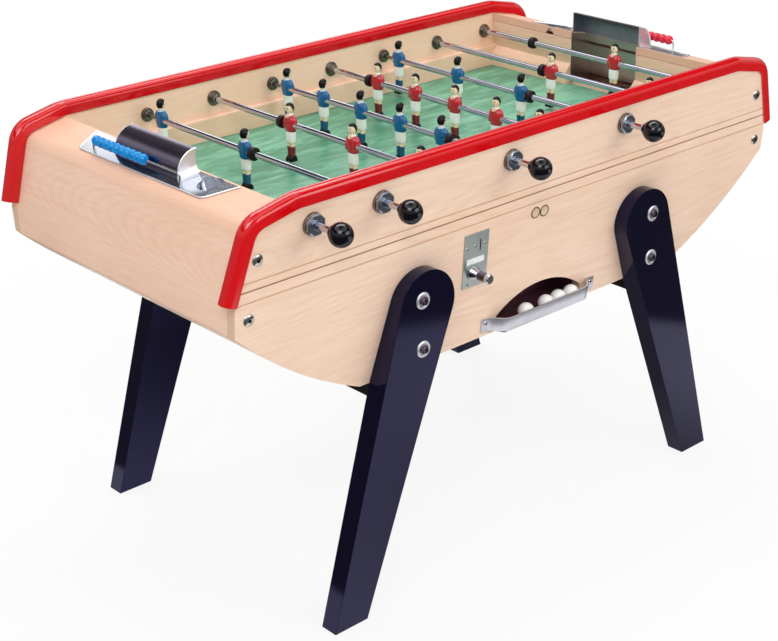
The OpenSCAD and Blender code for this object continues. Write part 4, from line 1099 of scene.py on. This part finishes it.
def spot(bm, at, half, index):
    """A small oval bump."""
    x, y, z = at
    sections = [(z + up * half[2], x, y, half[0] * wide, half[1] * wide, 2)
                for up, wide in ((-0.9, 0.45), (-0.4, 0.9), (0.4, 0.9), (0.9, 0.45))]
    loft(bm, sections, index, 8)


def player_unit():
    bm = bmesh.new()
    player_legs(bm)
    player_shorts(bm)
    player_shirt(bm)
    player_collar(bm)
    player_head(bm)
    return bm


def teams():
    """Both teams: the near side's in blue, facing the right end, and the far side's in red."""
    blue = ("player_blue", NO_TURN, (SKIN, HAIR, BLUE_SHIRT, BLUE_COLLAR, SHORTS, BLUE_SOCK, SHOE))
    red = ("player_red", HALF_TURN, (SKIN, HAIR, RED_SHIRT, RED_COLLAR, SHORTS, RED_SOCK, SHOE))
    for n, rod in enumerate(RODS):
        slot, turn, finishes = blue if ROD_SIDE[n] < 0 else red
        places = [((ROD_X[n], y, ROD_Z), turn) for y in PLAYER_Y[n]]
        repeated(rod + "_team", player_unit(), places, finishes, (rod + "_players",), 60, rod)


# Fastenings and the coin plate, placed on a leaning board

def on_board(x, z, stand=0.0):
    """A point over the near board's outer face, off it by a distance."""
    return (x, -outer_y(z) - stand * cos(radians(LEAN)), z)


def dome_screw_unit(radius, height, stem):
    """A round-headed screw with a hexagon socket, its head towards -Y."""
    bm = bmesh.new()
    stem_r = radius * 0.25
    rim = height * 0.92
    floor = height * 0.35
    dome = [(height * sin(a), radius * cos(a)) for a in arc(0, 66, 11)]
    turned(bm, [(-stem, 0), (-stem, stem_r), (-0.3, stem_r), (-0.3, radius * 0.94)] + dome
           + [(rim, radius * 0.34)], 32)
    # The hexagon socket takes the second finish, painted shade.
    turned(bm, [(rim, radius * 0.34), (rim, radius * 0.3), (floor, radius * 0.28), (floor, 0)], 6, 1)
    return bm


def round_cap_unit():
    """A flat round cap whose raised rim takes a finish of painted shade."""
    bm = bmesh.new()
    turned(bm, [(-0.2, 0)] + rounded([(-0.2, 12.3), (1.3, 12), (1.6, 10.6), (0.9, 9.6)], 0.4, 3), 40, 1)
    turned(bm, rounded([(0.9, 9.6), (0.9, 3.6), (1.3, 2.6), (1.3, 0)], 0.4, 3))
    return bm


def board_screws(name, unit, places, nodes=(), finishes=None):
    repeated(name, unit, places, finishes or (SCREW, RECESS_PAINTED_SHADE), nodes)


def board_fastenings():
    corners = [on_board(m * x, z) for x, z in CORNER_SCREWS for m in (-1, 1)]
    places = [(p, TILT) for p in corners] + [((p[0], -p[1], p[2]), (LEAN, 0, 180)) for p in corners]
    board_screws("corner_screws", dome_screw_unit(11.6, 4.4, 12), places, ("board_screws",))
    small = [(on_board(x, z, 2.4), TILT) for x, z in PLATE_SCREWS]
    board_screws("plate_screws", dome_screw_unit(3.9, 1.6, 4), small)
    guard = [(on_board(TRAY_X + m * GUARD_SCREW_X, GUARD_SCREW_Z, GUARD_T), TILT) for m in (-1, 1)]
    board_screws("guard_screws", dome_screw_unit(5, 2.4, 5), guard)
    caps = [(on_board(x, z), TILT) for x, z in ROUND_CAPS]
    board_screws("round_caps", round_cap_unit(), caps, (), (BRASS, CAP_RIM_PAINTED_SHADE))


def leg_bolt_unit():
    """A bolt in a wide cup washer, drawn towards -Y."""
    bm = bmesh.new()
    washer = rounded([(0, 17), (1.4, 17), (3.2, 14.8), (2.8, 11.6), (1.2, 10.4)], 0.8, 3)
    turned(bm, [(0, 0)] + washer + [(1.2, 0)])
    turned(bm, rounded([(1, 9), (5.4, 9), (6, 8.4), (6, 7.6)], 0.5, 3), 32, 1)
    turned(bm, [(6, 7.6), (8.8, 6.9), (8.8, 5.2), (4.5, 5.1), (4.5, 0)], 6, 1)
    return bm


def leg_bolts():
    places = []
    for x in (-LEG_X, LEG_X):
        for z in LEG_BOLTS_Z:
            places.append(((x, -LEG_Y, z), NO_TURN))
            places.append(((x, LEG_Y, z), HALF_TURN))
    repeated("cup_bolts", leg_bolt_unit(), places, (CHEEK, BOLT_DARK), ("leg_bolts",))


def plate_faces(face):
    """The raised label band is 1, the coin slot's walls 2, in painted shade, and the rest of the coin plate
    0.
    """
    centre = face.calc_center_median() / MM
    if abs(centre.x - SLOT_X) < 1.6 and between(centre.z, SLOT_Z) and abs(face.normal.y) < 0.5:
        return 2
    proud = -centre.y - outer_y(centre.z)
    return 1 if between(centre.z, LABEL_Z) and proud > LABEL_PROUD and abs(centre.x - LABEL_X) < 24 else 0


def coin_plate():
    dressed("coin_plate", (PLATE, LABEL, RECESS_PAINTED_SHADE), plate_faces, edge=0.25)


def coin_handle():
    """The release handle: a cone on the plate, its shaft and crank hub, a knurled stem and a faceted knob."""
    bm = bmesh.new()
    at = (HANDLE_X, 0, HANDLE_Z)
    face = outer_y(HANDLE_Z) + PLATE_T
    tip = outer_y(HANDLE_Z) + HANDLE_OUT
    inner = HANDLE_IN
    cone = rounded([(face, 15), (face + 1.5, 15), (face + 14, 8), (face + 16, 8), (face + 16, 4)], 0.8, 3)
    turned(bm, [(face, 4)] + cone, at=at)
    turned(bm, [(inner, 0), (inner, 4), (face + 2, 4)], 24, at=at)
    turned(bm, [(inner, 4), (inner, 8), (inner + 5, 8), (inner + 5, 4)], 28, at=at)
    ridges = 9
    stem = face + 15
    step = (tip - 9 - stem) / ridges
    knurl = [(stem + step * (k + part), radius) for k in range(ridges)
             for part, radius in ((0, 7.8), (0.3, 9.2), (0.65, 9.2), (0.95, 7.8))]
    turned(bm, [(stem, 4)] + knurl + [(tip - 9, 4)], 32, 1, at)
    knob = [(tip - 10, 4), (tip - 10, 9.2), (tip - 8.6, 10.5), (tip - 2.4, 10.5), (tip, 8.4), (tip, 0)]
    turned(bm, knob, 10, at=at)
    new_piece("release_handle", bm, (WIRE, BOLT_DARK), "coin_handle", ("coin_handle",),
              30)


# Ball tray

def guard_line():
    """The guard's centre line in the board's plane: feet flat, front straight, bends rounded."""
    half_t = GUARD_T / 2
    out = GUARD_OUT - half_t
    outline = [(-165, half_t), (-145, half_t), (-118, out), (118, out), (145, half_t), (165, half_t)]
    return rounded(outline, 14, 6)


def ball_guard():
    bm = bmesh.new()
    lean = radians(LEAN)
    line = guard_line()
    half_t = GUARD_T / 2
    section = [(-half_t, 0), (-half_t, GUARD_WIDE), (half_t, GUARD_WIDE), (half_t, 0), (-half_t, 0)]
    foot = (GUARD_Z - LEAN_Z) / cos(lean)
    rings = []
    for point, ahead in zip(line, tangents(line)):
        side = Vector((-ahead.y, ahead.x)).normalized()
        ring = []
        for across, up in rounded(section, 0.7, 2)[:-1]:
            place = point + side * across
            local = Vector((TRAY_X + place.x, -place.y, foot + up))
            ring.append(vert(bm, Matrix.Rotation(lean, 3, "X") @ local + Vector((0, -LEAN_Y, LEAN_Z))))
        rings.append(ring)
    join_rings(bm, rings)
    weld(bm)
    bmesh.ops.holes_fill(bm, edges=bm.edges, sides=0)
    new_piece("guard_strip", bm, (GUARD,), "cabinet", ("ball_guard",), 40)


def ball_unit():
    """A plain ball with a fine moulding line round its middle."""
    bm = bmesh.new()
    line_depth = 0.12
    profile = [(BALL_R * sin(a), (BALL_R if a else BALL_R - line_depth) * cos(a)) for a in arc(-90, 90, 24)]
    turned(bm, profile, axis=(0.3, 0.2, 1))
    return bm


def balls():
    low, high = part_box("balls")
    y = (low.y + high.y) / 2 / MM
    places = [((TRAY_X + s, y, BALL_Z), (20 * s, 3 * s, 0)) for s in BALLS_AT]
    repeated("ball_row", ball_unit(), places, (BALL,), ("balls",), 60, "balls")


# Stage

def seen_directly(tree):
    """One for rays from the camera, also through clear plastic, and zero for the others."""
    rays = shade(tree, "LightPath").outputs
    return sums(tree, "MAXIMUM", rays["Is Camera Ray"], rays["Is Transmission Ray"])


def floor_material():
    """White to the eye with a faint shadow near the object; in reflections a painted shadow near the object
    brightens outwards to an oval edge.
    """
    made = bpy.data.materials.new("Pale floor")
    made.use_nodes = True
    tree = made.node_tree
    tree.nodes.clear()
    place = shade(tree, "TexCoord").outputs["Object"]
    away = shade(tree, "VectorMath", {0: place}, operation="LENGTH").outputs["Value"]
    near = passed(tree, away, 0.86, 1, 0.9, 1.8)
    oval = shade(tree, "VectorMath", {0: place, 1: (1.314, 1, 1), 2: (-0.263, 0, 0)},
                 operation="MULTIPLY_ADD").outputs["Vector"]
    across = shade(tree, "VectorMath", {0: oval}, operation="LENGTH").outputs["Value"]
    # Painted shadow: in reflections the floor is darker near the object and brightens outwards.
    reflected_painted_shadow = ramp(tree, across, (0.3, 0.2), (0.5, 0.4), (0.85, 0.85), (1, 1))
    patch = passed(tree, across, 1, 0.12, 1.36, 1.44)
    eye = seen_directly(tree)
    glossy = shade(tree, "LightPath").outputs["Is Glossy Ray"]
    strength = sums(tree, "MAXIMUM", eye, times(tree, reflected_painted_shadow, patch))
    seen = sums(tree, "MAXIMUM", times(tree, eye, near), glossy)
    matt = shade(tree, "BsdfDiffuse", {"Color": (0.86, 0.86, 0.86, 1)})
    white = shade(tree, "Emission", {"Color": (1, 1, 1, 1), "Strength": strength})
    mix = shade(tree, "MixShader", {0: seen, 1: matt.outputs[0], 2: white.outputs[0]})
    shade(tree, "OutputMaterial", {"Surface": mix.outputs[0]})
    return made


def add_floor():
    bm = bmesh.new()
    bmesh.ops.create_grid(bm, x_segments=1, y_segments=1, size=14)
    floor = link("floor", mesh_of(bm, "floor"))
    lay_on(floor, (floor_material(),))


def add_world():
    """White behind the object, an even soft light, and a banded sky for reflections."""
    world = bpy.data.worlds.new("Studio")
    bpy.context.scene.world = world
    world.use_nodes = True
    tree = world.node_tree
    tree.nodes.clear()
    coords = shade(tree, "TexCoord")
    height = shade(tree, "SeparateXYZ", {"Vector": coords.outputs["Generated"]}).outputs["Z"]
    sky = ramp(tree, height, (0, 0.2), (0.22, 0.28), (0.33, 0.5), (0.45, 0.5), (0.5, 0.03), (0.68, 0.03),
               (0.74, 1), (0.92, 1), (0.98, 0.2))
    sky = shade(tree, "VectorMath", {0: sky, "Scale": 1.7}, operation="SCALE").outputs[0]
    glossy = shade(tree, "LightPath").outputs["Is Glossy Ray"]
    soft = mixed(tree, glossy, (0.56, 0.56, 0.56), sky)
    colour = mixed(tree, seen_directly(tree), soft, (1, 1, 1))
    back = shade(tree, "Background", {"Color": colour, "Strength": 1})
    shade(tree, "OutputWorld", {"Surface": back.outputs[0]})


def add_lamp(name, at, aim, size, power):
    wide, high = size
    data = put(bpy.data.lights.new(name, "AREA"), shape="RECTANGLE", size=wide, size_y=high, energy=power)
    lamp = link(name, data)
    lamp.location = at
    lamp.rotation_euler = (Vector(aim) - Vector(at)).to_track_quat("-Z", "Y").to_euler()


def add_lamps():
    add_lamp("Key softbox", (-2.6, -2, 3.4), (0, 0, 0.7), (2.2, 1.4), 54)
    add_lamp("Top softbox", (0.4, 0.8, 3.6), (0, 0, 0.8), (3, 1), 49)
    add_lamp("Front fill", (1, -3.5, 2.3), (0, 0, 0.7), (2.4, 1.6), 40)
    add_lamp("Rear fill", (1.6, 3.2, 2.2), (0, 0, 0.7), (2, 1.4), 16)


def add_camera():
    yaw = radians(CAMERA_YAW)
    pitch = radians(CAMERA_PITCH)
    roll = radians(CAMERA_ROLL)
    ahead = Vector((sin(yaw) * cos(pitch), cos(yaw) * cos(pitch), sin(pitch)))
    level = Vector((cos(yaw), -sin(yaw), 0))
    upright = level.cross(ahead)
    right = cos(roll) * level + sin(roll) * upright
    up = cos(roll) * upright - sin(roll) * level
    data = put(bpy.data.cameras.new("Camera"), sensor_fit="HORIZONTAL", sensor_width=SENSOR_W,
               lens=FOCAL_PX / IMAGE_W * SENSOR_W, shift_x=(IMAGE_W / 2 - CENTRE_PX[0]) / IMAGE_W,
               shift_y=(CENTRE_PX[1] - IMAGE_H / 2) / IMAGE_W, clip_end=100)
    camera = link("Camera", data)
    turn = Matrix((right, up, -ahead)).transposed()
    camera.matrix_world = Matrix.Translation(Vector(CAMERA_AT) * MM) @ turn.to_4x4()
    bpy.context.scene.camera = camera


cabinet_woods()
rail_pipes()
leg_faces()
inside_runs()
goal_hoods()
hood_rims()
goal_linings()
end_trays()
tray_rims()
score_beads()
rod_tubes()
rod_grips()
rod_bumpers()
bearings()
teams()
board_fastenings()
leg_bolts()
coin_plate()
coin_handle()
ball_guard()
balls()
add_floor()
add_world()
add_lamps()
add_camera()
bpy.context.scene.view_settings.view_transform = "Standard"
